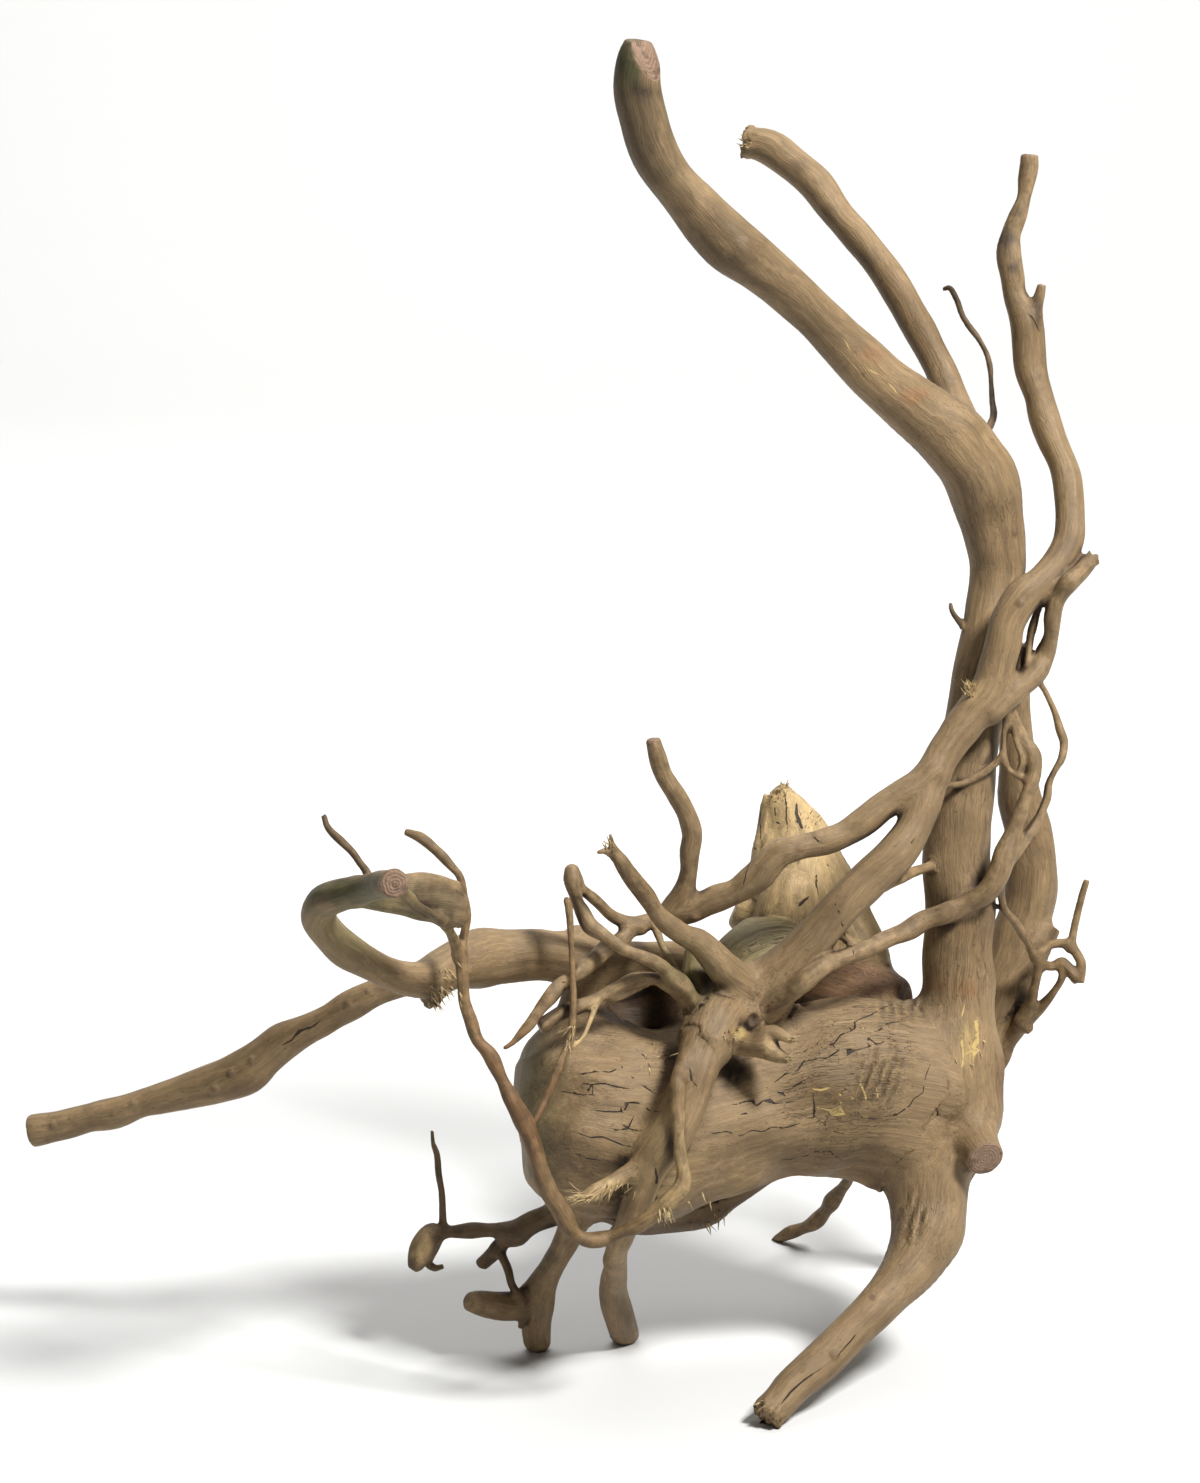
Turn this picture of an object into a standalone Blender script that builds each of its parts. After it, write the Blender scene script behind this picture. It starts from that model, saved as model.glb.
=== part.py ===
"""A spiderwood root: one dry piece of azalea root wood, sawn and broken at its ends.

The root is set out on a front drawing. The drawing is made from an eye that stands EYE_DISTANCE
away and looks down by EYE_TILT, so a point of the wood is given as it is drawn: across and up on
the sheet, and back along the line of sight. Every branch is a route of such points with the
branch's drawn radius at each. The routes are swept as round limbs, melted into one body, filleted
where they meet, made lumpy as grown wood is, and sawn at some ends and where the root stands.

Blender units are metres. The routes are in millimetres.
"""

import math

import bmesh
import bpy
import numpy as np
from mathutils import Vector

NODE_NAME = "spiderwood_root"
MM = 0.001

# The front drawing
EYE_DISTANCE = 1800.0
EYE_TILT = math.radians(14.0)
SHEET_CENTRE_UP = 263.4
SHEET_CENTRE = Vector((16.7, 25.4, 242.3))
FLOOR = 0.0

# The melted body
VOXEL = 1.2
RING_SIDES = 16
STEPS_PER_SPAN = 4
FILLET_SHARE = 0.9
FIT_ROUNDS = 2
FIT_STEP = 3.0
RIM_SHARE = 0.15
LOG_RIM = 18.0
REACH = 24.0
TRIANGLES = 11300

# The lumps of grown wood: wave length in millimetres, and height as a share of the radius
CREASED_WIDTH = 3.5
LUMPS = ((62.0, 0.035), (24.0, 0.03))
WAVES_PER_LUMP = 7
LUMP_SEED = 11

WOOD_COLOUR = (0.36, 0.25, 0.15, 1.0)
WOOD_ROUGHNESS = 0.72

# Each route: (across, up, back, radius) in millimetres
ROUTES = {
    # The trunk rises from the right end of the log and bends over to a sawn end at the top left.
    "trunk": [
        (141, 108, 2, 13), (144.8, 120, 0, 16), (144, 140, 0, 16.4), (143.4, 160, 0, 15),
        (143.8, 180, 0, 14.6), (144.4, 202, 0, 14), (142.8, 216, 0, 13.2), (143.6, 232, 0, 13.2),
        (145.6, 248, 0, 12.8), (148, 264, 1, 11.6), (150.8, 280, 2, 11.2), (153.6, 300, 5, 11.4),
        (156.8, 312, 7, 11.6), (158.8, 330, 10, 11.4), (158.4, 340, 9, 11.6), (156.6, 352, 8, 12.6),
        (153.2, 364, 6, 14.4), (148, 376, 3, 14.6), (138, 388, -2, 14.4), (124.8, 398, -8, 12),
        (112.4, 408, -14, 10.4), (99.6, 420, -20, 9.6), (87.6, 432, -26, 9.6), (75.2, 444, -32, 10),
        (60.8, 456, -38, 10.4), (50.4, 464, -43, 10.8), (39.2, 475.2, -48, 10),
        (28.4, 488, -53, 9.6), (20.8, 502, -58, 9.8), (16.4, 516, -63, 9.6), (14.8, 526, -66, 9.4),
        (15.4, 536, -70, 8.8), (16.6, 543.6, -72, 6.4),
    ],
    "second_limb": [
        (145.2, 388.8, 12, 7), (140.8, 400, 25, 6.8), (137.2, 410, 29, 6.4), (132, 420, 32, 6.4),
        (126.8, 430, 36, 6.8), (117.2, 446, 43, 6.6), (107.2, 460, 49, 6.4), (95.2, 474, 56, 6.4),
        (86.8, 486, 61, 6.8), (76, 495.2, 65, 6.8), (67.2, 501.2, 68, 7), (57.4, 503.4, 70, 5.8),
    ],
    "sawn_stub": [(146, 114, -2, 11), (151, 103, -15, 8.8), (154.5, 96.5, -24, 7.6)],
    "top_twig": [
        (152, 382, 4, 2), (157.2, 392.8, 20, 1.4), (156.8, 400, 28, 1.2), (156.4, 408, 34, 1.2),
        (156, 413.2, 37, 1.2), (154.4, 419.2, 40, 1.2), (151.2, 424.8, 42, 1.2),
        (148, 428.8, 44, 1.2), (144.8, 434, 46, 1.1), (142.8, 440, 48, 1.1), (140, 444.8, 50, 1.1),
        (136.8, 444, 51, 1),
    ],
    "trunk_twig": [(146.4, 308, 2, 1.6), (141.2, 314.8, 8, 1.2), (140, 318.8, 10, 1)],
    # The right limb leaves the log in front of the trunk, crosses it and climbs to a sawn end.
    "right_limb": [
        (63.2, 162, -25, 12.8), (72, 170, -29, 10.8), (81.2, 180, -32, 9), (89.6, 190, -35, 8.4),
        (98, 198.8, -38, 7.8), (107.2, 208, -37, 8), (117.2, 216.8, -36, 7.6),
        (124.8, 227.2, -33, 6.8), (129.6, 238, -30, 6.8), (132.4, 246, -27, 6.4),
        (136, 256, -25, 7), (141.2, 264, -23, 7.2), (146.4, 271.2, -21, 8), (156, 284, -19, 7.6),
        (158.8, 292.8, -19, 7.2), (161.2, 302, -20, 7.2), (163.2, 311.2, -20, 6.8),
        (168.8, 321.2, -20, 7.2), (176, 326.8, -18, 6.4), (183.2, 335.2, -14, 6.6),
        (187.2, 344, -10, 6.2), (188, 354, -6, 5.8), (187.2, 364, -3, 5.8), (185.2, 374, 0, 5.8),
        (180.8, 384, 2, 5.8), (177.2, 394, 4, 6), (175.2, 402, 5, 5.6), (172.4, 412, 7, 6.2),
        (171.6, 422, 8, 6.6), (170.4, 431.2, 8, 6.6), (166, 442, 9, 4.8), (164.8, 450, 9, 5),
        (163.6, 459.2, 10, 5.2), (164.8, 467.2, 11, 4.2), (168, 476.8, 12, 3.6),
        (170.4, 486, 13, 3.2), (171.8, 493, 14, 3.6), (172, 498, 14, 3.5),
    ],
    "right_limb_spur": [(173, 433, 6, 3), (175.6, 440.8, 5, 2.4), (176.8, 446.4, 4, 1.8)],
    "knobby_limb": [
        (156.8, 275.2, -22, 4.8), (162, 280, -20, 4.6), (168, 285.2, -17, 4.8),
        (174, 291.2, -14, 4.8), (178, 298, -12, 4.4), (180.4, 306, -16, 4), (181.2, 314, -20, 4),
        (183.2, 321.2, -22, 3.6), (188, 326.8, -24, 3.6), (193.2, 332, -18, 3.2),
        (196.4, 337.2, -14, 3.2),
    ],
    "knobby_limb_strand": [
        (178.8, 324, -17, 2), (175.2, 316, -15, 1.6), (173.2, 309.2, -14, 2), (172, 304, -14, 1.6),
        (170.8, 292.8, -15, 1.6), (172, 288, -15, 2),
    ],
    "knobby_limb_thread": [
        (165, 305, -17, 2), (168.8, 300, -12, 1.3), (166.8, 291.2, -13, 1.3), (165.2, 283, -16, 1.8),
    ],
    # The loop beside the trunk
    "loop_twig": [
        (176, 290, -13, 1.6), (176, 287.2, -12, 1.3), (178.8, 282, -10, 1.3), (182, 274.8, -8, 1.6),
        (184, 268, -8, 1.8), (185.6, 263.2, -8, 1.8), (184.8, 256.8, -9, 1.8), (182, 252, -10, 1.8),
        (179.6, 246.8, -10, 1.8), (178.8, 240.8, -10, 2), (176.8, 236, -11, 2), (174, 230, -12, 2),
        (170, 224, -14, 2), (167.2, 219.2, -16, 1.7), (160, 211, -18, 2),
    ],
    "wrapping_root": [
        (163.2, 281, -17, 2.4), (164.8, 275.2, -14, 2), (167.2, 270, -12, 2), (170, 263.2, -12, 3.2),
        (173.2, 257.2, -13, 3.6), (173.6, 250, -14, 3.2), (170.8, 242, -15, 3.6),
        (168, 234, -16, 3.6), (164.8, 226, -17, 4), (162, 218, -18, 4), (159.2, 210, -18, 4.4),
        (154, 202.8, -18, 4.4), (146, 198, -17, 4), (138, 194.4, -17, 3.8), (130, 192, -18, 4),
        (122, 187.2, -22, 3.6), (114, 184, -26, 3.4), (106, 180, -30, 3.2), (98, 177.2, -34, 3.2),
        (90, 174, -38, 3.6), (82, 168, -41, 4), (75.2, 161.6, -38, 4), (66, 156, -30, 4),
    ],
    "crossing_twig": [
        (135.2, 246, -26, 2), (138, 246, -22, 1.5), (144, 246.4, -15, 1.4), (150, 248.8, -13, 1.3),
        (155.2, 252.4, -12, 1.5), (161.2, 258, -12, 1.5), (161.6, 266, -13, 1.3),
        (162.4, 272, -15, 1.5), (162.4, 279, -18, 2),
    ],
    "crossing_twig_tail": [
        (161.2, 258, -12, 1.5), (163.2, 252.8, -12, 1.4), (166.4, 250, -13, 1.4), (171.2, 248, -14, 1.8),
    ],
    "inner_thread": [
        (164.8, 275, -14, 1.6), (166.4, 264, -14, 1.3), (168.8, 256, -14, 1.3), (167.2, 250, -13, 1.3),
    ],
    # The left-reaching limb and its long tip
    "cross_root": [
        (133, 251, -28, 5.4), (126, 246, -29, 5.6), (120, 242.6, -30, 5.6), (114, 238.4, -31, 5.6),
        (106, 232, -33, 5.8),
        (98, 226.4, -34, 5.6), (90, 223.2, -36, 5.6), (80, 220.8, -38, 5), (72.8, 219.2, -38, 5.2),
        (67.2, 214, -37, 5.6), (62.8, 208.8, -36, 5.8), (54, 203.2, -34, 5.2), (44.8, 200, -32, 5),
        (36.8, 195.2, -31, 4.4), (27.2, 193.2, -30, 4), (14, 189.2, -34, 3.2), (8, 184, -39, 3),
        (2, 180, -45, 3.2), (-4, 174.8, -51, 3.2), (-10, 170, -58, 3.2), (-16, 166, -60, 3.2),
        (-20.8, 160, -63, 3.2), (-25.2, 154, -66, 2.8), (-28, 150, -67, 2.6), (-32, 146, -68, 2),
        (-35.2, 142.8, -69, 1.4), (-38.8, 140.4, -70, 1),
    ],
    "cross_root_fork": [
        (16, 189.4, -34, 3.2), (6, 192.8, -38, 2.8), (-0.8, 198.8, -44, 2.4), (-6.8, 204, -49, 2.2),
        (-9.6, 207.6, -51, 2.4),
    ],
    "thin_drop": [
        (22, 190, -34, 2), (24.8, 182, -38, 1.6), (28, 176, -40, 1.6), (32, 168.8, -40, 1.8),
        (37, 163, -38, 2),
    ],
    "upright_root": [
        (28.8, 196.8, -30, 4.4), (33.2, 202.8, -32, 4.8), (35.2, 210, -35, 4), (36, 218, -38, 3.8),
        (36.8, 226, -41, 4), (34.8, 234, -44, 4.6), (30.8, 241.2, -46, 4.4), (26.4, 248.8, -48, 3.8),
        (23.2, 256, -50, 3.2), (21.2, 264, -52, 2.6),
    ],
    # The tangle over the log
    "splintered_root": [
        (59, 162, -28, 8), (54, 168, -35, 7.4), (48.8, 173.2, -42, 6.6), (44.8, 178, -45, 6),
        (39.2, 183.2, -48, 5.2), (32.8, 186.4, -52, 4.8), (26, 191.2, -56, 4.4),
        (20.8, 198, -60, 3.6), (16, 204.4, -64, 3.4), (12, 210, -67, 3.2), (8.4, 216, -70, 3),
        (4, 220.8, -72, 2.2),
    ],
    "splinter_upper": [(6, 218, -71, 2), (4.6, 223, -73, 1.3), (4.2, 226.5, -74, 0.8)],
    "splinter_side": [(5, 219, -71, 2), (1.6, 219.6, -73, 1.2), (-1.2, 218.8, -74, 0.8)],
    "knobbed_root": [
        (-11, 211, -51, 3), (-10.6, 207, -52, 3.8), (-9.2, 200, -54, 2.8), (-6.8, 195.2, -56, 3.2),
        (-4, 190, -58, 3.2), (0, 187.2, -58, 2.8), (4.8, 183.6, -59, 2.6), (10, 180, -60, 2.8),
        (15.2, 178, -59, 2.8), (20, 176, -57, 2.8), (24.8, 173.2, -54, 3.2), (28.8, 169.2, -51, 3.6),
        (32.8, 166, -49, 3.2), (36, 162, -47, 2.6), (40, 155, -42, 3),
    ],
    "reaching_root": [
        (36, 160, -41, 4), (27.2, 166, -45, 3.2), (20, 168.8, -47, 2.6), (11.2, 167.2, -49, 2.8),
        (3.2, 163.2, -51, 2.8), (-4, 159.2, -53, 3.2), (-14, 155.2, -57, 3.4), (-24, 149.6, -60, 3),
    ],
    "reaching_root_strand": [(19, 168, -46, 2), (11, 162.5, -48, 1.6), (4, 160, -50, 1.8)],
    "greenish_lump": [(38.8, 178, -24, 5), (38.8, 171, -27, 6.4), (39, 163, -30, 6.6), (41, 154, -33, 8)],
    # The looping root hangs in front of the log's left end and climbs to the hook root.
    "looping_root": [
        (38, 143, -52, 5), (31.2, 128, -66, 3.4), (30.8, 120, -69, 2.9), (31.6, 110, -72, 2.9),
        (32, 100, -73, 2.9), (33.2, 92, -74, 3), (32.4, 85.2, -75, 3.6), (28, 80, -76, 3.2),
        (22, 75.2, -75, 3.2), (16, 70.4, -74, 3.2), (8.8, 67.2, -73, 3.2), (1.2, 64.4, -72, 3.2),
        (-6, 64.4, -74, 3.2), (-12.4, 69.2, -76, 3.6), (-16, 76.8, -77, 3.4), (-20.4, 84, -78, 3.2),
        (-23.6, 92, -80, 3.2), (-26.8, 102.8, -82, 3.4), (-30.8, 112, -84, 3.2),
        (-36, 122, -84, 3.2), (-40, 130, -84, 3.2), (-44, 138, -84, 3.2), (-49.2, 144, -84, 3.2),
        (-52, 152, -84, 2.8), (-54.4, 160, -84, 2.6), (-55.2, 170, -84, 2.6), (-56, 178, -84, 2.8),
        (-54.8, 184, -84, 2.4), (-53.2, 194, -84, 2), (-54.8, 202, -83, 2), (-56, 209.2, -83, 2),
        (-60, 214, -82, 2.2), (-66, 220, -81, 2), (-72, 224.8, -80, 2), (-78, 227.2, -80, 1.3),
    ],
    "loop_tie": [
        (-56, 178, -84, 2.8), (-58, 183.2, -92, 2.4), (-61.2, 189.2, -104, 2.1),
        (-65.2, 193.2, -118, 2.2), (-72, 197.2, -134, 2), (-78, 202.8, -150, 1.8), (-82, 206, -158, 2),
    ],
    "hanging_thread": [
        (-13.2, 200, -62, 1.3), (-12.4, 196.8, -62, 1.6), (-11.6, 184, -62, 1.3),
        (-11.2, 176, -62, 1.3), (-10.8, 166, -62, 1.5), (-10.8, 156, -63, 2), (-11.6, 146, -65, 2),
        (-14, 140, -67, 1.7), (-19.2, 126, -71, 1.6), (-22, 120, -73, 1.6), (-28, 109, -79, 1.6),
        (-30, 107, -82, 2),
    ],
    "pale_splinter": [
        (-1.2, 160, -53, 1.6), (-4, 152, -58, 1.2), (-7.2, 144.8, -62, 1.2), (-13.6, 140, -66, 1.4),
    ],
    # The thick left limb curls forwards as the hook root and ends in a sawn face.
    "left_limb": [
        (36, 174, 5, 9), (20, 175.2, -5, 8.8), (8, 175.2, -12, 8.8), (-8, 175.2, -20, 9),
        (-24, 178, -28, 9.6), (-40, 177.6, -35, 11), (-48, 176.8, -40, 12), (-55, 175.2, -48, 10.6),
        (-63, 172, -57, 8.6), (-71, 168, -67, 7.6), (-79.2, 168.8, -75, 6.8), (-86, 171.2, -80, 6.4),
        (-93.4, 175, -86, 6.8), (-101.4, 179.6, -94, 7.2), (-108, 185.6, -102, 6.8),
        (-112.4, 192.6, -111, 7), (-110.6, 198.6, -121, 6.8), (-104, 202, -130, 6.6),
        (-94, 204.4, -140, 6.2), (-87, 206, -154, 5.8), (-83, 206.4, -168, 6.2), (-82, 206.5, -176, 6.3),
    ],
    "blade_upper": [
        (-96, 205, -134, 4), (-80, 206, -126, 4.4), (-70, 207, -119, 4.2), (-56.8, 204.8, -107, 4),
    ],
    "blade_middle": [
        (-96, 203, -134, 4), (-80, 201.2, -125, 5), (-68, 200.8, -116, 5), (-54.8, 198, -105, 5),
    ],
    "blade_lower": [
        (-96, 201, -132, 3.6), (-80, 197.6, -124, 4), (-68, 194.8, -115, 4), (-55.2, 191.4, -104, 3.6),
    ],
    "hook_twig": [
        (-93.2, 206, -131, 2.4), (-93.2, 210.8, -128, 1.8), (-96, 214.8, -125, 1.6),
        (-99.2, 219.2, -122, 1.6), (-104, 224, -120, 1.6), (-108.8, 228.8, -118, 1.4),
        (-110.6, 234, -116, 1.2),
    ],
    "torn_heel": [(-66, 168, -56, 6), (-67.5, 161.5, -60, 4.6), (-67, 157, -61, 2.2)],
    "limb_lump": [(-10, 181, -16, 8), (-6, 187, -13, 4.6)],
    "long_left_root": [
        (-52, 176, -38, 8), (-64, 171.5, -36, 7), (-82, 166, -30, 5.6), (-92, 162, -28, 5.8),
        (-100, 157.6, -25, 6.2), (-108, 152.8, -22, 5.8), (-118, 148, -18, 6.2),
        (-126, 143.6, -14, 7.2), (-134, 137.2, -11, 7.6), (-140.8, 132, -8, 8.6), (-150, 128, -5, 8),
        (-160, 124.8, -1, 7.6), (-174, 121.2, 4, 6.4), (-184, 118.4, 7, 5.4), (-194, 114.8, 10, 6.2),
        (-204, 112.8, 14, 5.6), (-216, 109.6, 17, 5.6), (-224, 108.2, 19, 6.3), (-227.4, 107.6, 20, 6.4),
    ],
    # The log is the heavy body. Its left end is a broad face turned left and a little forwards.
    "log": [
        (135, 112, 6, 6), (132, 113, 6, 13), (126, 117, 6, 21), (119, 121, 6, 29),
        (112, 124, 4, 35.5), (94, 124.8, 0, 34.8), (68, 121.2, -8, 32), (40, 114, -15, 35),
        (8, 110, -23, 37), (-28, 115.5, -32, 30.5),
    ],
    "end_slab": [
        (-10, 130, -22, 22), (-8, 142, -18, 16), (-7, 152, -16, 11), (-6, 161, -14, 9),
        (-5, 168, -14, 8),
    ],
    "cavity_wall": [(-6, 152, -2, 11), (16, 153.2, 6, 12), (44, 156, 6, 17)],
    "under_shelf": [
        (2, 82, -10, 10), (14, 77, -8, 10), (24, 76, -4, 9.6), (40, 77, -2, 8.6), (50, 82, -2, 6.6),
        (60, 88, 0, 6), (70, 95, 2, 6),
    ],
    "hub_dome": [(55, 164, 4, 15), (62, 168.5, 5, 20), (68, 170.5, 7, 21.5), (76, 167, 10, 19)],
    "back_lump": [(78, 166, 28, 18), (92, 162, 27, 19), (106, 159, 23, 17), (120, 155, 16, 12)],
    # The hub joins the front roots to the log.
    "hub": [(60, 158, -12, 15), (52, 155, -26, 13), (46, 151.2, -40, 11.2), (41, 141, -50, 9.6)],
    "strap_root": [
        (46, 149, -42, 10), (38.8, 132, -55, 8.6), (34, 118, -59, 8.8), (28, 106, -61, 8.8),
        (20.8, 96, -60, 8), (17.2, 86, -58, 6.4), (14.4, 78, -55, 6), (10.8, 70, -50, 5.6),
        (6.8, 62, -38, 4.9), (6, 54, -24, 4.6), (5.2, 46, -8, 5.6), (6, 40, 2, 6),
        (7.6, 32.8, 12, 6), (9.6, 26, 24, 5.8), (10.2, 20, 28, 5.4),
    ],
    "frayed_stub": [
        (20, 94, -60, 4.4), (10, 90, -64, 3.8), (2, 85.2, -68, 3.8),
        (-4.8, 81.2, -71, 3.2), (-8.8, 81, -72, 2.4),
    ],
    "forked_stub": [
        (46, 147, -42, 6), (56, 143.2, -46, 5.4),
        (63.2, 142, -50, 5.2), (68.5, 142.8, -52, 5.4),
    ],
    "forked_stub_upper": [(67, 145, -52, 4), (70, 146.8, -54, 3.2), (77.6, 143.6, -57, 1.8)],
    "forked_stub_lower": [(67, 141, -52, 4), (70, 138.4, -54, 3.4), (76, 136, -57, 2)],
    # The snag behind is a torn stump: three splinters of different heights on one foot.
    "snag_middle": [
        (80, 182, 38, 22), (79.2, 196, 41, 20), (79.2, 208, 43, 17.5), (78.8, 219, 45, 14.6),
        (76.8, 229, 46, 10.6), (74, 238, 47, 6.2), (72.4, 245, 48, 2.4),
    ],
    "snag_left": [(67, 216, 44, 7), (66.4, 227, 46, 4.4), (67, 236, 47, 3.2), (67.4, 242, 48, 1.6)],
    "snag_right": [
        (106, 166, 26, 12), (104, 178, 32, 11), (98, 190, 36, 11.4), (95, 204, 40, 9),
        (91, 216, 43, 6.4), (87.2, 226, 45, 4.6), (83, 234, 46, 2.6),
    ],
    "snag_heel": [(66, 192, 38, 11), (60, 194, 40, 9), (54.5, 196.8, 40, 5)],
    "snag_lobe": [(76, 194, 26, 13), (77, 202, 25, 11.5), (78, 208, 28, 8)],
    # The back limb comes down behind the trunk and ends as the back foot.
    "back_limb": [
        (162, 312, 8, 4), (165.6, 298, 20, 4.2), (167.2, 284, 28, 4.8), (166.8, 264, 34, 6.4),
        (168, 244, 39, 8.8), (171.2, 228, 43, 10), (172.8, 212, 45, 10.8), (171.2, 198, 46, 10.8),
        (167.2, 184, 46, 10.4), (162, 168, 45, 10.4), (156, 152, 46, 11.2), (150.8, 136, 52, 11),
        (146, 120, 62, 10), (139.2, 102, 75, 9), (132, 84, 88, 8.6), (126, 66, 101, 8.2),
        (122, 52, 110, 8), (119, 44, 115, 8),
    ],
    "pale_stub": [
        (161.2, 158.8, 44, 8), (168.8, 172.8, 42, 7.2), (176, 183.2, 40, 5.2), (181, 190, 40, 4),
    ],
    "winding_twig": [
        (160, 207, -14, 2.2), (160.4, 202, -10, 1.7), (162, 196, -4, 1.7), (166, 191.2, 4, 1.8),
        (170, 185.2, 12, 2), (172.8, 179.2, 18, 2), (176, 174.8, 22, 2), (180.8, 173.2, 24, 2),
        (184.8, 174.8, 24, 2), (188, 172, 23, 2.2), (191.4, 168, 22, 2.2),
    ],
    "claw_arch": [
        (174.4, 176.8, 20, 2), (177.2, 180, 23, 1.8), (180, 182, 24, 1.8), (184, 182.8, 24, 1.8),
        (188, 182, 24, 1.8), (191.2, 178, 23, 1.8), (192.8, 174, 22, 1.8), (192, 166.8, 22, 1.8),
    ],
    "claw_twig": [
        (188, 181, 24, 1.9), (188.8, 184, 24, 1.6), (190.4, 192, 24, 1.6), (192.4, 200, 23, 1.4),
        (194.8, 208, 22, 1.2),
    ],
    "claw_strand": [
        (176, 175, 22, 2), (174, 166, 25, 2), (172, 158, 30, 2.4), (168.8, 151.2, 35, 3.6),
        (164, 144, 40, 3.6), (161.6, 137.2, 42, 3), (158, 132, 46, 3),
    ],
    "claw_strand_back": [
        (184.8, 174.5, 24, 1.8), (184.8, 168.8, 23, 1.6), (181.2, 162.8, 26, 1.6), (177.2, 158, 30, 2),
        (173.2, 154, 33, 2.4), (169, 151, 35, 3),
    ],
    "claw_knob": [(168.8, 151.2, 34, 3), (172.4, 147.2, 33, 1.6)],
    "frayed_peg": [
        (134, 213.6, -6, 2.6), (130, 212.8, -13, 2), (124, 210.8, -22, 2),
        (118, 208, -30, 2.4), (113.2, 205, -34, 2.2),
    ],
    "small_prop": [
        (94, 190, -34, 3), (97, 186.4, -32, 2.4),
        (103.2, 180.4, -30, 2.4), (106, 179, -30, 2.4),
    ],
    # The front leg swings down and forwards to its foot.
    "front_leg": [
        (136, 106, 2, 17), (132.6, 90, -5, 15.4), (132, 76, -8, 15.2), (130.4, 65, -14, 13.8),
        (124, 52.4, -22, 10.8), (117, 44, -28, 9), (110.4, 37.2, -34, 8.2), (101.6, 28.4, -40, 7.8),
        (87.6, 14.4, -48, 7.8), (77.2, 5.6, -54, 7.4), (72.8, 0.4, -57, 6.8), (66, -7, -61, 6.6),
    ],
    # The left foot and the dark roots beside it
    "left_foot": [
        (-4, 84, -16, 10), (-10, 71, -11, 5.8), (-14, 62, -6, 5.2), (-18, 55.2, 0, 5.2),
        (-22, 48, 5, 5.6), (-24.8, 41.2, 8, 6.8), (-25.2, 34, 11, 6.4), (-25.2, 27, 14, 5.6),
        (-24.8, 18, 18, 4.8),
    ],
    "left_foot_peg": [(-26, 38, 9, 6), (-38, 37.6, 4, 6), (-46, 38.4, 0, 5.2), (-53, 39.4, -5, 3.4)],
    "dark_root": [
        (-12, 84, -10, 8), (-18, 75.2, -2, 5), (-26, 71.2, 0, 4.4), (-34, 67.2, 1, 4.8),
        (-42, 68, 2, 3.4), (-50, 68, 3, 3.2), (-58, 67.2, 4, 2.8), (-64, 67.2, 4, 2.8),
        (-67.6, 66, 4, 3.8), (-71, 61, 3, 4.4), (-73, 55.6, 2, 3.4), (-75, 52.2, 2, 1.6),
    ],
    "dark_hook": [
        (-64.8, 65, 5, 2.4), (-66.4, 60, 9, 2), (-68.8, 55.2, 11, 2),
        (-66, 52.8, 12, 1.6), (-62.4, 53.6, 12, 1),
    ],
    "dark_fork": [(-33, 66, 2, 3.6), (-38, 63.6, 5, 3.2), (-42, 59.2, 8, 3.2), (-47.4, 54, 12, 2.8)],
    "rising_thread": [
        (-62.8, 67, 4, 2.2), (-62.8, 71, 4, 1.6), (-63.2, 82, 2, 1.4), (-64.4, 90, 0, 1.3),
        (-65.2, 98, -2, 1.3), (-66.8, 102.8, -3, 1.1), (-67.2, 108, -4, 1),
    ],
    "fork_thread": [
        (-41, 60.5, 7, 2.2), (-39.2, 57.4, 4, 1.8), (-36.8, 52, 2, 1.8), (-35.2, 46, 1, 1.8),
        (-32, 40.8, 2, 2), (-30.4, 36, 3, 2), (-31.6, 28.4, 3, 1.3),
    ],
    # The back tip passes under the log and stands on the floor behind.
    "back_tip": [
        (112, 108, 34, 6), (106, 98, 66, 2.8), (100.4, 89.6, 88, 2), (97.2, 85.2, 98, 1.9),
        (95.2, 82.8, 103, 2.4), (93.2, 80, 108, 3.2), (90.4, 76, 115, 3.4), (86, 71.2, 122, 3.2),
        (80, 68.4, 129, 2.8), (74, 65.8, 135, 2.4), (68, 62.6, 141, 2),
    ],
}

# The oblique sawn face at the trunk's top: its middle on the sheet, the way it faces, and the saw's reach
TOP_FACE_MIDDLE = (20.0, 536.0, -71.0)
TOP_FACE_FACING = Vector((0.74, -0.52, 0.42)).normalized()
TOP_FACE_REACH = 26.0


# Limbs that meet the others in a sharp crease
CREASED_LIMBS = (
    "hub_dome", "greenish_lump", "snag_middle", "snag_left", "snag_right", "snag_lobe", "snag_heel",
    "back_lump", "forked_stub_upper", "forked_stub_lower",
)


def sheet_to_space(across, up, back):
    """The place in space, in millimetres, of a point drawn at (across, up) that lies back by `back`."""
    spread = 1.0 + back / EYE_DISTANCE
    rise = (up - SHEET_CENTRE_UP) * spread
    return SHEET_CENTRE + Vector((
        across * spread,
        rise * math.sin(EYE_TILT) + back * math.cos(EYE_TILT),
        rise * math.cos(EYE_TILT) - back * math.sin(EYE_TILT),
    ))


def smooth_route(points):
    """Centres and radii along a smooth curve through a route's points, as arrays in millimetres."""
    knots = np.array([
        [*sheet_to_space(*point[:3]), point[3] * (1.0 + point[2] / EYE_DISTANCE)] for point in points
    ])
    padded = np.vstack([2 * knots[0] - knots[1], knots, 2 * knots[-1] - knots[-2]])
    share = np.linspace(0, 1, STEPS_PER_SPAN, endpoint=False)[:, None]
    spans = []
    for before, start, end, after in zip(padded, padded[1:], padded[2:], padded[3:]):
        tangent_in = (end - before) / 2
        tangent_out = (after - start) / 2
        spans.append(
            start * (2 * share**3 - 3 * share**2 + 1)
            + tangent_in * (share**3 - 2 * share**2 + share)
            + end * (3 * share**2 - 2 * share**3)
            + tangent_out * (share**3 - share**2)
        )
    path = np.vstack([*spans, knots[-1:]])
    return path[:, :3], path[:, 3]


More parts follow.
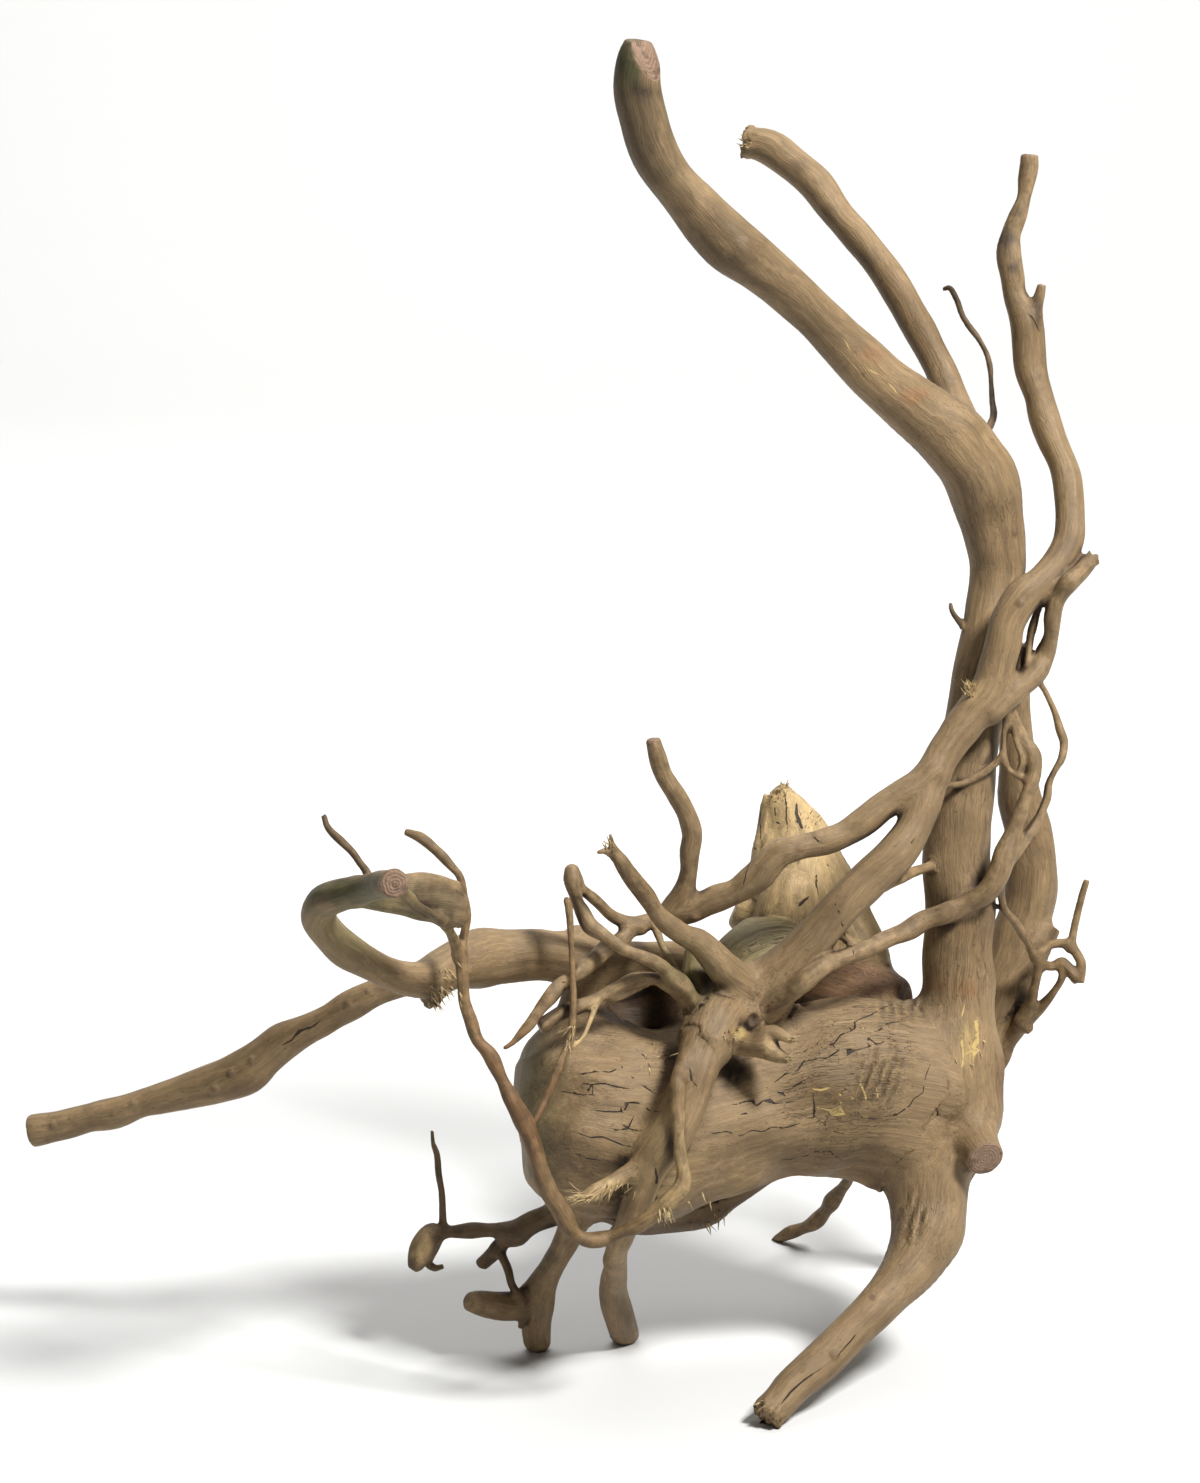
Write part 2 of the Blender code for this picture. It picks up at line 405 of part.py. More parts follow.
def ring_frames(centres):
    """Two unit vectors across the route at each centre, carried along without twist."""
    tangents = np.gradient(centres, axis=0)
    tangents /= np.linalg.norm(tangents, axis=1)[:, None]
    side = Vector(tangents[0]).orthogonal().normalized()
    sides = []
    for tangent in tangents:
        side = (side - Vector(tangent) * side.dot(Vector(tangent))).normalized()
        sides.append(side)
    sides = np.array(sides)
    return sides, np.cross(tangents, sides)


def add_limb(mesh, centres, radii, rim):
    """Adds one closed round limb with a worn end to the bmesh."""
    sides, uprights = ring_frames(centres)
    lengths = np.linalg.norm(np.diff(centres, axis=0), axis=1)
    from_end = lengths.sum() - np.concatenate([[0.0], np.cumsum(lengths)])
    radii = radii - rim + np.sqrt(rim**2 - np.clip(rim - from_end, 0, rim) ** 2)
    turns = [2 * math.pi * step / RING_SIDES for step in range(RING_SIDES)]
    rings = [
        [mesh.verts.new(centre + radius * (math.cos(a) * side + math.sin(a) * upright)) for a in turns]
        for centre, radius, side, upright in zip(centres, radii, sides, uprights)
    ]
    for low, high in zip(rings, rings[1:]):
        for i in range(RING_SIDES):
            j = (i + 1) % RING_SIDES
            mesh.faces.new((low[i], low[j], high[j], high[i]))
    mesh.faces.new(rings[0][::-1])
    mesh.faces.new(rings[-1])


def waves(points, length, random):
    """A smooth random height, from about -1 to 1, at each point."""
    height = np.zeros(len(points))
    for _ in range(WAVES_PER_LUMP):
        direction = random.normal(size=3)
        direction *= 2 * math.pi / (length * np.linalg.norm(direction))
        height += np.sin(points @ direction + random.uniform(0, 2 * math.pi))
    return height / math.sqrt(WAVES_PER_LUMP)


def distance_to_limb(points, centres, radii, rim, end_steps):
    """Each point's distance outside the limb's skin, and the limb's radius beside it."""
    starts, steps = centres[:-1], np.diff(centres, axis=0)
    squares = np.einsum("ij,ij->i", steps, steps)
    along = (points @ steps.T - np.einsum("ij,ij->i", starts, steps)) / squares
    share = np.clip(along, 0, 1)
    radius = radii[:-1] + share * np.diff(radii)
    offset = points[:, None] - starts - share[..., None] * steps
    reach = np.linalg.norm(offset, axis=2)
    nearest = (reach - radius).argmin(axis=1)
    rows = np.arange(len(points))
    reach, radius = reach[rows, nearest], radius[rows, nearest]
    # The limb stops at a flat face at its outer end, with a worn rim.
    past = (points - centres[-1]) @ steps[-1] / math.sqrt(squares[-1])
    past = np.where(nearest >= len(steps) - end_steps, past, -2 * REACH)
    side = np.sqrt(np.maximum(reach**2 - np.maximum(past, 0) ** 2, 0)) - radius
    outside = np.hypot(np.maximum(side + rim, 0), np.maximum(past + rim, 0))
    inside = np.minimum(np.maximum(side, past) + rim, 0)
    return outside + inside - rim, radius


def wood_field(points, limbs):
    """Each point's distance outside the filleted, lumpy wood."""
    near = np.full((2, len(points)), REACH)
    near_radius = np.ones((2, len(points)))
    near_crease = np.full((2, len(points)), math.inf)
    for centres, radii, rim, end_steps, crease in limbs:
        margin = radii.max() + REACH / 2
        inside = np.all((points > centres.min(0) - margin) & (points < centres.max(0) + margin), axis=1)
        rows = np.flatnonzero(inside)
        for part in np.array_split(rows, len(rows) // 8000 + 1):
            distance, radius = distance_to_limb(points[part], centres, radii, rim, end_steps)
            first = distance < near[0, part]
            second = ~first & (distance < near[1, part])
            near[1, part] = np.where(first, near[0, part], np.where(second, distance, near[1, part]))
            near_radius[1, part] = np.where(
                first, near_radius[0, part], np.where(second, radius, near_radius[1, part])
            )
            near_crease[1, part] = np.where(
                first, near_crease[0, part], np.where(second, crease, near_crease[1, part])
            )
            near_crease[0, part] = np.where(first, crease, near_crease[0, part])
            near[0, part] = np.where(first, distance, near[0, part])
            near_radius[0, part] = np.where(first, radius, near_radius[0, part])
    width = np.minimum(FILLET_SHARE * near_radius.min(axis=0), near_crease.min(axis=0))
    overlap = np.maximum(width - (near[1] - near[0]), 0) / width
    fillet = overlap**2 * width / 4
    random = np.random.default_rng(LUMP_SEED)
    lump = sum(height * waves(points, length, random) for length, height in LUMPS)
    return near[0] - fillet - lump * near_radius[0]


def sweep_limbs(limbs):
    """One mesh object of all limbs, not yet melted together."""
    soup = bmesh.new()
    for centres, radii, rim, _, _ in limbs:
        add_limb(soup, centres, radii, rim)
    mesh = bpy.data.meshes.new(NODE_NAME)
    soup.to_mesh(mesh)
    soup.free()
    root = bpy.data.objects.new(NODE_NAME, mesh)
    bpy.context.scene.collection.objects.link(root)
    return root


def apply_modifier(root, modifier):
    """Replaces the object's mesh by its evaluated mesh and drops the modifier."""
    graph = bpy.context.evaluated_depsgraph_get()
    finished = bpy.data.meshes.new_from_object(root.evaluated_get(graph))
    root.modifiers.remove(modifier)
    root.data = finished


def melt(root):
    """Melts everything in the mesh into one skin on a voxel grid."""
    remesh = root.modifiers.new("melt", "REMESH")
    remesh.mode = "VOXEL"
    remesh.voxel_size = VOXEL
    apply_modifier(root, remesh)


def fit_to_field(root, limbs):
    """Moves the mesh onto the filleted, lumpy surface of the wood."""
    mesh = root.data
    count = len(mesh.vertices)
    points = np.empty(count * 3, np.float32)
    normals = np.empty(count * 3, np.float32)
    for _ in range(FIT_ROUNDS):
        mesh.vertices.foreach_get("co", points)
        mesh.vertices.foreach_get("normal", normals)
        places = points.reshape(-1, 3).astype(float)
        steps = np.clip(wood_field(places, limbs), -FIT_STEP, FIT_STEP)
        places -= steps[:, None] * normals.reshape(-1, 3)
        mesh.vertices.foreach_set("co", places.astype(np.float32).ravel())
        mesh.update()


def keep_largest_piece(root):
    """Drops crumbs that the melting may leave beside the body."""
    shape = bmesh.new()
    shape.from_mesh(root.data)
    unseen = set(shape.verts)
    pieces = []
    while unseen:
        edge_of_search = [unseen.pop()]
        piece = list(edge_of_search)
        while edge_of_search:
            vertex = edge_of_search.pop()
            for edge in vertex.link_edges:
                other = edge.other_vert(vertex)
                if other in unseen:
                    unseen.remove(other)
                    piece.append(other)
                    edge_of_search.append(other)
        pieces.append(piece)
    pieces.sort(key=len)
    for crumb in pieces[:-1]:
        bmesh.ops.delete(shape, geom=crumb, context="VERTS")
    shape.to_mesh(root.data)
    shape.free()


def thin_faces(root):
    """Reduces the mesh to about TRIANGLES triangles."""
    thin = root.modifiers.new("thin", "DECIMATE")
    thin.ratio = TRIANGLES / (2 * len(root.data.polygons))
    thin.use_collapse_triangulate = True
    apply_modifier(root, thin)


def saw(shape, middle, facing, reach):
    """Cuts off what lies past a plane, within reach of its middle, and closes the cut with a flat face."""
    near_faces = [face for face in shape.faces if (face.calc_center_median() - middle).length < reach]
    verts = {vert for face in near_faces for vert in face.verts}
    edges = {edge for face in near_faces for edge in face.edges}
    cut = bmesh.ops.bisect_plane(
        shape, geom=[*verts, *edges, *near_faces], plane_co=middle, plane_no=facing, clear_outer=True
    )
    rims = [item for item in cut["geom_cut"] if isinstance(item, bmesh.types.BMEdge)]
    bmesh.ops.edgenet_fill(shape, edges=rims)


def saw_top(root):
    """Saws the trunk's top off obliquely."""
    shape = bmesh.new()
    shape.from_mesh(root.data)
    saw(shape, sheet_to_space(*TOP_FACE_MIDDLE), TOP_FACE_FACING, TOP_FACE_REACH)
    shape.to_mesh(root.data)
    shape.free()


def saw_feet(root):
    """Levels the feet on the floor and turns the mesh to metres."""
    shape = bmesh.new()
    shape.from_mesh(root.data)
    saw(shape, Vector((0, 0, FLOOR)), Vector((0, 0, -1)), math.inf)
    bmesh.ops.triangulate(shape, faces=shape.faces[:])
    bmesh.ops.scale(shape, vec=(MM, MM, MM), verts=shape.verts)
    bmesh.ops.recalc_face_normals(shape, faces=shape.faces)
    shape.to_mesh(root.data)
    shape.free()


def wood_material():
    """Plain dry wood."""
    wood = bpy.data.materials.new("dry_root_wood")
    wood.use_nodes = True
    shader = wood.node_tree.nodes["Principled BSDF"]
    shader.inputs["Base Color"].default_value = WOOD_COLOUR
    shader.inputs["Roughness"].default_value = WOOD_ROUGHNESS
    shader.inputs["Metallic"].default_value = 0.0
    return wood


def build_root():
    """Builds the whole root as one object."""
    for old in list(bpy.data.objects):
        bpy.data.objects.remove(old)
    limbs = []
    for name, points in ROUTES.items():
        centres, radii = smooth_route(points)
        # The log's big end is sawn all over, so its whole length is measured against the end's plane.
        rim = LOG_RIM if name == "log" else RIM_SHARE * radii[-1]
        end_steps = len(radii) if name == "log" else STEPS_PER_SPAN
        limbs.append((centres, radii, rim, end_steps, CREASED_WIDTH if name in CREASED_LIMBS else math.inf))
    root = sweep_limbs(limbs)
    melt(root)
    fit_to_field(root, limbs)
    melt(root)
    fit_to_field(root, limbs)
    keep_largest_piece(root)
    saw_top(root)
    thin_faces(root)
    saw_feet(root)
    root.data.materials.append(wood_material())
    root.data.shade_smooth()
    return root


build_root()
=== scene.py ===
"""The looks of the spiderwood root.

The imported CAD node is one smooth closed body. This script grows the same root again at a much finer
scale from the same routes, with the furrows, knots, cracks, ripples and torn ends that the photograph
shows, and gives it dry wood whose grain follows every branch. Loose fibres and splinters at the torn
ends are scattered by Geometry Nodes.

Lengths inside the script are millimetres until a mesh is finished; Blender gets metres.
"""

from __future__ import annotations

import itertools
import logging
import math
from dataclasses import dataclass
from enum import Enum
from typing import Iterator, Sequence

import bmesh
import bpy
import numpy as np
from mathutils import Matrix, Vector
from mathutils.kdtree import KDTree


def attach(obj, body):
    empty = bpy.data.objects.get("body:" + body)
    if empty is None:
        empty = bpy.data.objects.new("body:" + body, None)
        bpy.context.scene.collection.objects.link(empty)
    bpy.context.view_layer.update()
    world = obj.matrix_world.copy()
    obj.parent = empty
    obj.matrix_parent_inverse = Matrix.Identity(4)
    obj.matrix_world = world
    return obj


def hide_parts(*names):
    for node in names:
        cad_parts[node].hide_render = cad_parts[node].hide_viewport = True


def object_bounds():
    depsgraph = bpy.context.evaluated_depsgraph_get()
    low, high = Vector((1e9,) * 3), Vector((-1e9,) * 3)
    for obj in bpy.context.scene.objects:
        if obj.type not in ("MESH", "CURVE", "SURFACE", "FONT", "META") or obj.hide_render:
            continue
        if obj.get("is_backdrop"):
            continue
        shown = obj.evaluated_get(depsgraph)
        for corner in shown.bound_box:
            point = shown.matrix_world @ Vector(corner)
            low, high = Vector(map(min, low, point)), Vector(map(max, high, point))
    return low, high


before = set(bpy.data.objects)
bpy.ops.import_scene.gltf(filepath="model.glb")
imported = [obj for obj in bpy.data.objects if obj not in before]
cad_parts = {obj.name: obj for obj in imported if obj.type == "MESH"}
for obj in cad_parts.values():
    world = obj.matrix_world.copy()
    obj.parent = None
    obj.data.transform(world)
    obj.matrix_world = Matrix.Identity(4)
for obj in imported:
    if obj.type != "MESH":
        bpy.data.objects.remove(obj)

LOG = logging.getLogger("spiderwood_root")

NODE_NAME = "spiderwood_root"
BODY_NAME = "root"
MM = 0.001

# The front drawing, as the photograph shows it
EYE_DISTANCE = 1800.0
EYE_TILT = math.radians(14.0)
SHEET_CENTRE_UP = 263.4
SHEET_CENTRE = Vector((16.7, 25.4, 242.3))
SHEET_HEIGHT = 593.2
SENSOR_HEIGHT = 36.0
EYE_FORWARD = np.array((0.0, math.cos(EYE_TILT), -math.sin(EYE_TILT)))
EYE_UP = np.array((0.0, math.sin(EYE_TILT), math.cos(EYE_TILT)))

# The swept and melted body
RING_SIDES = 16
STEPS_PER_SPAN = 4
SECTION = 6
FILLET_SHARE = 0.9
FIT_STEP = 3.0
RIM_SHARE = 0.15
LOG_RIM = 18.0
REACH = 24.0
CREASED_WIDTH = 3.5
LUMPS = ((62.0, 0.035), (24.0, 0.03))
WAVES_PER_LUMP = 7
LUMP_SEED = 11
COARSE_VOXEL = 1.2
FINE_VOXEL = 0.9
TRIANGLE_LIMIT = 192_000

Point = tuple[float, ...]
Colour = tuple[float, float, float]

# Each route: (across, up, back, radius) in millimetres
ROUTES: dict[str, tuple[Point, ...]] = {
    # The trunk rises from the right end of the log and bends over to a sawn end at the top left.
    "trunk": [
        (141, 108, 2, 13), (144.8, 120, 0, 16), (144, 140, 0, 16.4), (143.4, 160, 0, 15),
        (143.8, 180, 0, 14.6), (144.4, 202, 0, 14), (142.8, 216, 0, 13.2), (143.6, 232, 0, 13.2),
        (145.6, 248, 0, 12.8), (148, 264, 1, 11.6), (150.8, 280, 2, 11.2), (153.6, 300, 5, 11.4),
        (156.8, 312, 7, 11.6), (158.8, 330, 10, 11.4), (158.4, 340, 9, 11.6), (156.6, 352, 8, 12.6),
        (153.2, 364, 6, 14.4), (148, 376, 3, 14.6), (138, 388, -2, 14.4), (124.8, 398, -8, 12),
        (112.4, 408, -14, 10.4), (99.6, 420, -20, 9.6), (87.6, 432, -26, 9.6), (75.2, 444, -32, 10),
        (60.8, 456, -38, 10.4), (50.4, 464, -43, 10.8), (39.2, 475.2, -48, 10),
        (28.4, 488, -53, 9.6), (20.8, 502, -58, 9.8), (16.4, 516, -63, 9.6), (14.8, 526, -66, 9.4),
        (15.4, 536, -70, 8.8), (16.6, 543.6, -72, 6.4),
    ],
    "second_limb": [
        (145.2, 388.8, 12, 7), (140.8, 400, 25, 6.8), (137.2, 410, 29, 6.4), (132, 420, 32, 6.4),
        (126.8, 430, 36, 6.8), (117.2, 446, 43, 6.6), (107.2, 460, 49, 6.4), (95.2, 474, 56, 6.4),
        (86.8, 486, 61, 6.8), (76, 495.2, 65, 6.8), (67.2, 501.2, 68, 7), (57.4, 503.4, 70, 5.8),
    ],
    "sawn_stub": [(146, 114, -2, 11), (151, 103, -15, 8.8), (154.5, 96.5, -24, 7.6)],
    "top_twig": [
        (152, 382, 4, 2), (157.2, 392.8, 20, 1.4), (156.8, 400, 28, 1.2), (156.4, 408, 34, 1.2),
        (156, 413.2, 37, 1.2), (154.4, 419.2, 40, 1.2), (151.2, 424.8, 42, 1.2),
        (148, 428.8, 44, 1.2), (144.8, 434, 46, 1.1), (142.8, 440, 48, 1.1), (140, 444.8, 50, 1.1),
        (136.8, 444, 51, 1),
    ],
    "trunk_twig": [(146.4, 308, 2, 1.6), (141.2, 314.8, 8, 1.2), (140, 318.8, 10, 1)],
    # The right limb leaves the log in front of the trunk, crosses it and climbs to a sawn end.
    "right_limb": [
        (63.2, 162, -25, 12.8), (72, 170, -29, 10.8), (81.2, 180, -32, 9), (89.6, 190, -35, 8.4),
        (98, 198.8, -38, 7.8), (107.2, 208, -37, 8), (117.2, 216.8, -36, 7.6),
        (124.8, 227.2, -33, 6.8), (129.6, 238, -30, 6.8), (132.4, 246, -27, 6.4),
        (136, 256, -25, 7), (141.2, 264, -23, 7.2), (146.4, 271.2, -21, 8), (156, 284, -19, 7.6),
        (158.8, 292.8, -19, 7.2), (161.2, 302, -20, 7.2), (163.2, 311.2, -20, 6.8),
        (168.8, 321.2, -20, 7.2), (176, 326.8, -18, 6.4), (183.2, 335.2, -14, 6.6),
        (187.2, 344, -10, 6.2), (188, 354, -6, 5.8), (187.2, 364, -3, 5.8), (185.2, 374, 0, 5.8),
        (180.8, 384, 2, 5.8), (177.2, 394, 4, 6), (175.2, 402, 5, 5.6), (172.4, 412, 7, 6.2),
        (171.6, 422, 8, 6.6), (170.4, 431.2, 8, 6.6), (166, 442, 9, 4.8), (164.8, 450, 9, 5),
        (163.6, 459.2, 10, 5.2), (164.8, 467.2, 11, 4.2), (168, 476.8, 12, 3.6),
        (170.4, 486, 13, 3.2), (171.8, 493, 14, 3.6), (172, 498, 14, 3.5),
    ],
    "right_limb_spur": [(173, 433, 6, 3), (175.6, 440.8, 5, 2.4), (176.8, 446.4, 4, 1.8)],
    "knobby_limb": [
        (156.8, 275.2, -22, 4.8), (162, 280, -20, 4.6), (168, 285.2, -17, 4.8),
        (174, 291.2, -14, 4.8), (178, 298, -12, 4.4), (180.4, 306, -16, 4), (181.2, 314, -20, 4),
        (183.2, 321.2, -22, 3.6), (188, 326.8, -24, 3.6), (193.2, 332, -18, 3.2),
        (196.4, 337.2, -14, 3.2),
    ],
    "knobby_limb_strand": [
        (178.8, 324, -17, 2), (175.2, 316, -15, 1.6), (173.2, 309.2, -14, 2), (172, 304, -14, 1.6),
        (170.8, 292.8, -15, 1.6), (172, 288, -15, 2),
    ],
    "knobby_limb_thread": [
        (165, 305, -17, 2), (168.8, 300, -12, 1.3), (166.8, 291.2, -13, 1.3), (165.2, 283, -16, 1.8),
    ],
    # The loop beside the trunk
    "loop_twig": [
        (176, 290, -13, 1.6), (176, 287.2, -12, 1.3), (178.8, 282, -10, 1.3), (182, 274.8, -8, 1.6),
        (184, 268, -8, 1.8), (185.6, 263.2, -8, 1.8), (184.8, 256.8, -9, 1.8), (182, 252, -10, 1.8),
        (179.6, 246.8, -10, 1.8), (178.8, 240.8, -10, 2), (176.8, 236, -11, 2), (174, 230, -12, 2),
        (170, 224, -14, 2), (167.2, 219.2, -16, 1.7), (160, 211, -18, 2),
    ],
    "wrapping_root": [
        (163.2, 281, -17, 2.4), (164.8, 275.2, -14, 2), (167.2, 270, -12, 2), (170, 263.2, -12, 3.2),
        (173.2, 257.2, -13, 3.6), (173.6, 250, -14, 3.2), (170.8, 242, -15, 3.6),
        (168, 234, -16, 3.6), (164.8, 226, -17, 4), (162, 218, -18, 4), (159.2, 210, -18, 4.4),
        (154, 202.8, -18, 4.4), (146, 198, -17, 4), (138, 194.4, -17, 3.8), (130, 192, -18, 4),
        (122, 187.2, -22, 3.6), (114, 184, -26, 3.4), (106, 180, -30, 3.2), (98, 177.2, -34, 3.2),
        (90, 174, -38, 3.6), (82, 168, -41, 4), (75.2, 161.6, -38, 4), (66, 156, -30, 4),
    ],
    "crossing_twig": [
        (135.2, 246, -26, 2), (138, 246, -22, 1.5), (144, 246.4, -15, 1.4), (150, 248.8, -13, 1.3),
        (155.2, 252.4, -12, 1.5), (161.2, 258, -12, 1.5), (161.6, 266, -13, 1.3),
        (162.4, 272, -15, 1.5), (162.4, 279, -18, 2),
    ],
    "crossing_twig_tail": [
        (161.2, 258, -12, 1.5), (163.2, 252.8, -12, 1.4), (166.4, 250, -13, 1.4), (171.2, 248, -14, 1.8),
    ],
    "inner_thread": [
        (164.8, 275, -14, 1.6), (166.4, 264, -14, 1.3), (168.8, 256, -14, 1.3), (167.2, 250, -13, 1.3),
    ],
    # The left-reaching limb and its long tip
    "cross_root": [
        (133, 251, -28, 5.4), (126, 246, -29, 5.6), (120, 242.6, -30, 5.6), (114, 238.4, -31, 5.6),
        (106, 232, -33, 5.8),
        (98, 226.4, -34, 5.6), (90, 223.2, -36, 5.6), (80, 220.8, -38, 5), (72.8, 219.2, -38, 5.2),
        (67.2, 214, -37, 5.6), (62.8, 208.8, -36, 5.8), (54, 203.2, -34, 5.2), (44.8, 200, -32, 5),
        (36.8, 195.2, -31, 4.4), (27.2, 193.2, -30, 4), (14, 189.2, -34, 3.2), (8, 184, -39, 3),
        (2, 180, -45, 3.2), (-4, 174.8, -51, 3.2), (-10, 170, -58, 3.2), (-16, 166, -60, 3.2),
        (-20.8, 160, -63, 3.2), (-25.2, 154, -66, 2.8), (-28, 150, -67, 2.6), (-32, 146, -68, 2),
        (-35.2, 142.8, -69, 1.4), (-38.8, 140.4, -70, 1),
    ],
    "cross_root_fork": [
        (16, 189.4, -34, 3.2), (6, 192.8, -38, 2.8), (-0.8, 198.8, -44, 2.4), (-6.8, 204, -49, 2.2),
        (-9.6, 207.6, -51, 2.4),
    ],
    "thin_drop": [
        (22, 190, -34, 2), (24.8, 182, -38, 1.6), (28, 176, -40, 1.6), (32, 168.8, -40, 1.8),
        (37, 163, -38, 2),
    ],
    "upright_root": [
        (28.8, 196.8, -30, 4.4), (33.2, 202.8, -32, 4.8), (35.2, 210, -35, 4), (36, 218, -38, 3.8),
        (36.8, 226, -41, 4), (34.8, 234, -44, 4.6), (30.8, 241.2, -46, 4.4), (26.4, 248.8, -48, 3.8),
        (23.2, 256, -50, 3.2), (21.2, 264, -52, 2.6),
    ],
    # The tangle over the log
    "splintered_root": [
        (59, 162, -28, 8), (54, 168, -35, 7.4), (48.8, 173.2, -42, 6.6), (44.8, 178, -45, 6),
        (39.2, 183.2, -48, 5.2), (32.8, 186.4, -52, 4.8), (26, 191.2, -56, 4.4),
        (20.8, 198, -60, 3.6), (16, 204.4, -64, 3.4), (12, 210, -67, 3.2), (8.4, 216, -70, 3),
        (4, 220.8, -72, 2.2),
    ],
    "splinter_upper": [(6, 218, -71, 2), (4.6, 223, -73, 1.3), (4.2, 226.5, -74, 0.8)],
    "splinter_side": [(5, 219, -71, 2), (1.6, 219.6, -73, 1.2), (-1.2, 218.8, -74, 0.8)],
    "knobbed_root": [
        (-11, 211, -51, 3), (-10.6, 207, -52, 3.8), (-9.2, 200, -54, 2.8), (-6.8, 195.2, -56, 3.2),
        (-4, 190, -58, 3.2), (0, 187.2, -58, 2.8), (4.8, 183.6, -59, 2.6), (10, 180, -60, 2.8),
        (15.2, 178, -59, 2.8), (20, 176, -57, 2.8), (24.8, 173.2, -54, 3.2), (28.8, 169.2, -51, 3.6),
        (32.8, 166, -49, 3.2), (36, 162, -47, 2.6), (40, 155, -42, 3),
    ],
    "reaching_root": [
        (36, 160, -41, 4), (27.2, 166, -45, 3.2), (20, 168.8, -47, 2.6), (11.2, 167.2, -49, 2.8),
        (3.2, 163.2, -51, 2.8), (-4, 159.2, -53, 3.2), (-14, 155.2, -57, 3.4), (-24, 149.6, -60, 3),
    ],
    "reaching_root_strand": [(19, 168, -46, 2), (11, 162.5, -48, 1.6), (4, 160, -50, 1.8)],
    "greenish_lump": [(38.8, 178, -24, 5), (38.8, 171, -27, 6.4), (39, 163, -30, 6.6), (41, 154, -33, 8)],
    # The looping root hangs in front of the log's left end and climbs to the hook root.
    "looping_root": [
        (38, 143, -52, 5), (31.2, 128, -66, 3.4), (30.8, 120, -69, 2.9), (31.6, 110, -72, 2.9),
        (32, 100, -73, 2.9), (33.2, 92, -74, 3), (32.4, 85.2, -75, 3.6), (28, 80, -76, 3.2),
        (22, 75.2, -75, 3.2), (16, 70.4, -74, 3.2), (8.8, 67.2, -73, 3.2), (1.2, 64.4, -72, 3.2),
        (-6, 64.4, -74, 3.2), (-12.4, 69.2, -76, 3.6), (-16, 76.8, -77, 3.4), (-20.4, 84, -78, 3.2),
        (-23.6, 92, -80, 3.2), (-26.8, 102.8, -82, 3.4), (-30.8, 112, -84, 3.2),
        (-36, 122, -84, 3.2), (-40, 130, -84, 3.2), (-44, 138, -84, 3.2), (-49.2, 144, -84, 3.2),
        (-52, 152, -84, 2.8), (-54.4, 160, -84, 2.6), (-55.2, 170, -84, 2.6), (-56, 178, -84, 2.8),
        (-54.8, 184, -84, 2.4), (-53.2, 194, -84, 2), (-54.8, 202, -83, 2), (-56, 209.2, -83, 2),
        (-60, 214, -82, 2.2), (-66, 220, -81, 2), (-72, 224.8, -80, 2), (-78, 227.2, -80, 1.3),
    ],
    "loop_tie": [
        (-56, 178, -84, 2.8), (-58, 183.2, -92, 2.4), (-61.2, 189.2, -104, 2.1),
        (-65.2, 193.2, -118, 2.2), (-72, 197.2, -134, 2), (-78, 202.8, -150, 1.8), (-82, 206, -158, 2),
    ],
    "hanging_thread": [
        (-13.2, 200, -62, 1.3), (-12.4, 196.8, -62, 1.6), (-11.6, 184, -62, 1.3),
        (-11.2, 176, -62, 1.3), (-10.8, 166, -62, 1.5), (-10.8, 156, -63, 2), (-11.6, 146, -65, 2),
        (-14, 140, -67, 1.7), (-19.2, 126, -71, 1.6), (-22, 120, -73, 1.6), (-28, 109, -79, 1.6),
        (-30, 107, -82, 2),
    ],
    "pale_splinter": [
        (-1.2, 160, -53, 1.6), (-4, 152, -58, 1.2), (-7.2, 144.8, -62, 1.2), (-13.6, 140, -66, 1.4),
    ],
    # The thick left limb curls forwards as the hook root and ends in a sawn face.
    "left_limb": [
        (36, 174, 5, 9), (20, 175.2, -5, 8.8), (8, 175.2, -12, 8.8), (-8, 175.2, -20, 9),
        (-24, 178, -28, 9.6), (-40, 177.6, -35, 11), (-48, 176.8, -40, 12), (-55, 175.2, -48, 10.6),
        (-63, 172, -57, 8.6), (-71, 168, -67, 7.6), (-79.2, 168.8, -75, 6.8), (-86, 171.2, -80, 6.4),
        (-93.4, 175, -86, 6.8), (-101.4, 179.6, -94, 7.2), (-108, 185.6, -102, 6.8),
        (-112.4, 192.6, -111, 7), (-110.6, 198.6, -121, 6.8), (-104, 202, -130, 6.6),
        (-94, 204.4, -140, 6.2), (-87, 206, -154, 5.8), (-83, 206.4, -168, 6.2), (-82, 206.5, -176, 6.3),
    ],
    "blade_upper": [
        (-96, 205, -134, 4), (-80, 206, -126, 4.4), (-70, 207, -119, 4.2), (-56.8, 204.8, -107, 4),
    ],
    "blade_middle": [
        (-96, 203, -134, 4), (-80, 201.2, -125, 5), (-68, 200.8, -116, 5), (-54.8, 198, -105, 5),
    ],
    "blade_lower": [
        (-96, 201, -132, 3.6), (-80, 197.6, -124, 4), (-68, 194.8, -115, 4), (-55.2, 191.4, -104, 3.6),
    ],
    "hook_twig": [
        (-93.2, 206, -131, 2.4), (-93.2, 210.8, -128, 1.8), (-96, 214.8, -125, 1.6),
        (-99.2, 219.2, -122, 1.6), (-104, 224, -120, 1.6), (-108.8, 228.8, -118, 1.4),
        (-110.6, 234, -116, 1.2),
    ],
    "torn_heel": [(-66, 168, -56, 6), (-67.5, 161.5, -60, 4.6), (-67, 157, -61, 2.2)],
    "limb_lump": [(-10, 181, -16, 8), (-6, 187, -13, 4.6)],
    "long_left_root": [
        (-52, 176, -38, 8), (-64, 171.5, -36, 7), (-82, 166, -30, 5.6), (-92, 162, -28, 5.8),
        (-100, 157.6, -25, 6.2), (-108, 152.8, -22, 5.8), (-118, 148, -18, 6.2),
        (-126, 143.6, -14, 7.2), (-134, 137.2, -11, 7.6), (-140.8, 132, -8, 8.6), (-150, 128, -5, 8),
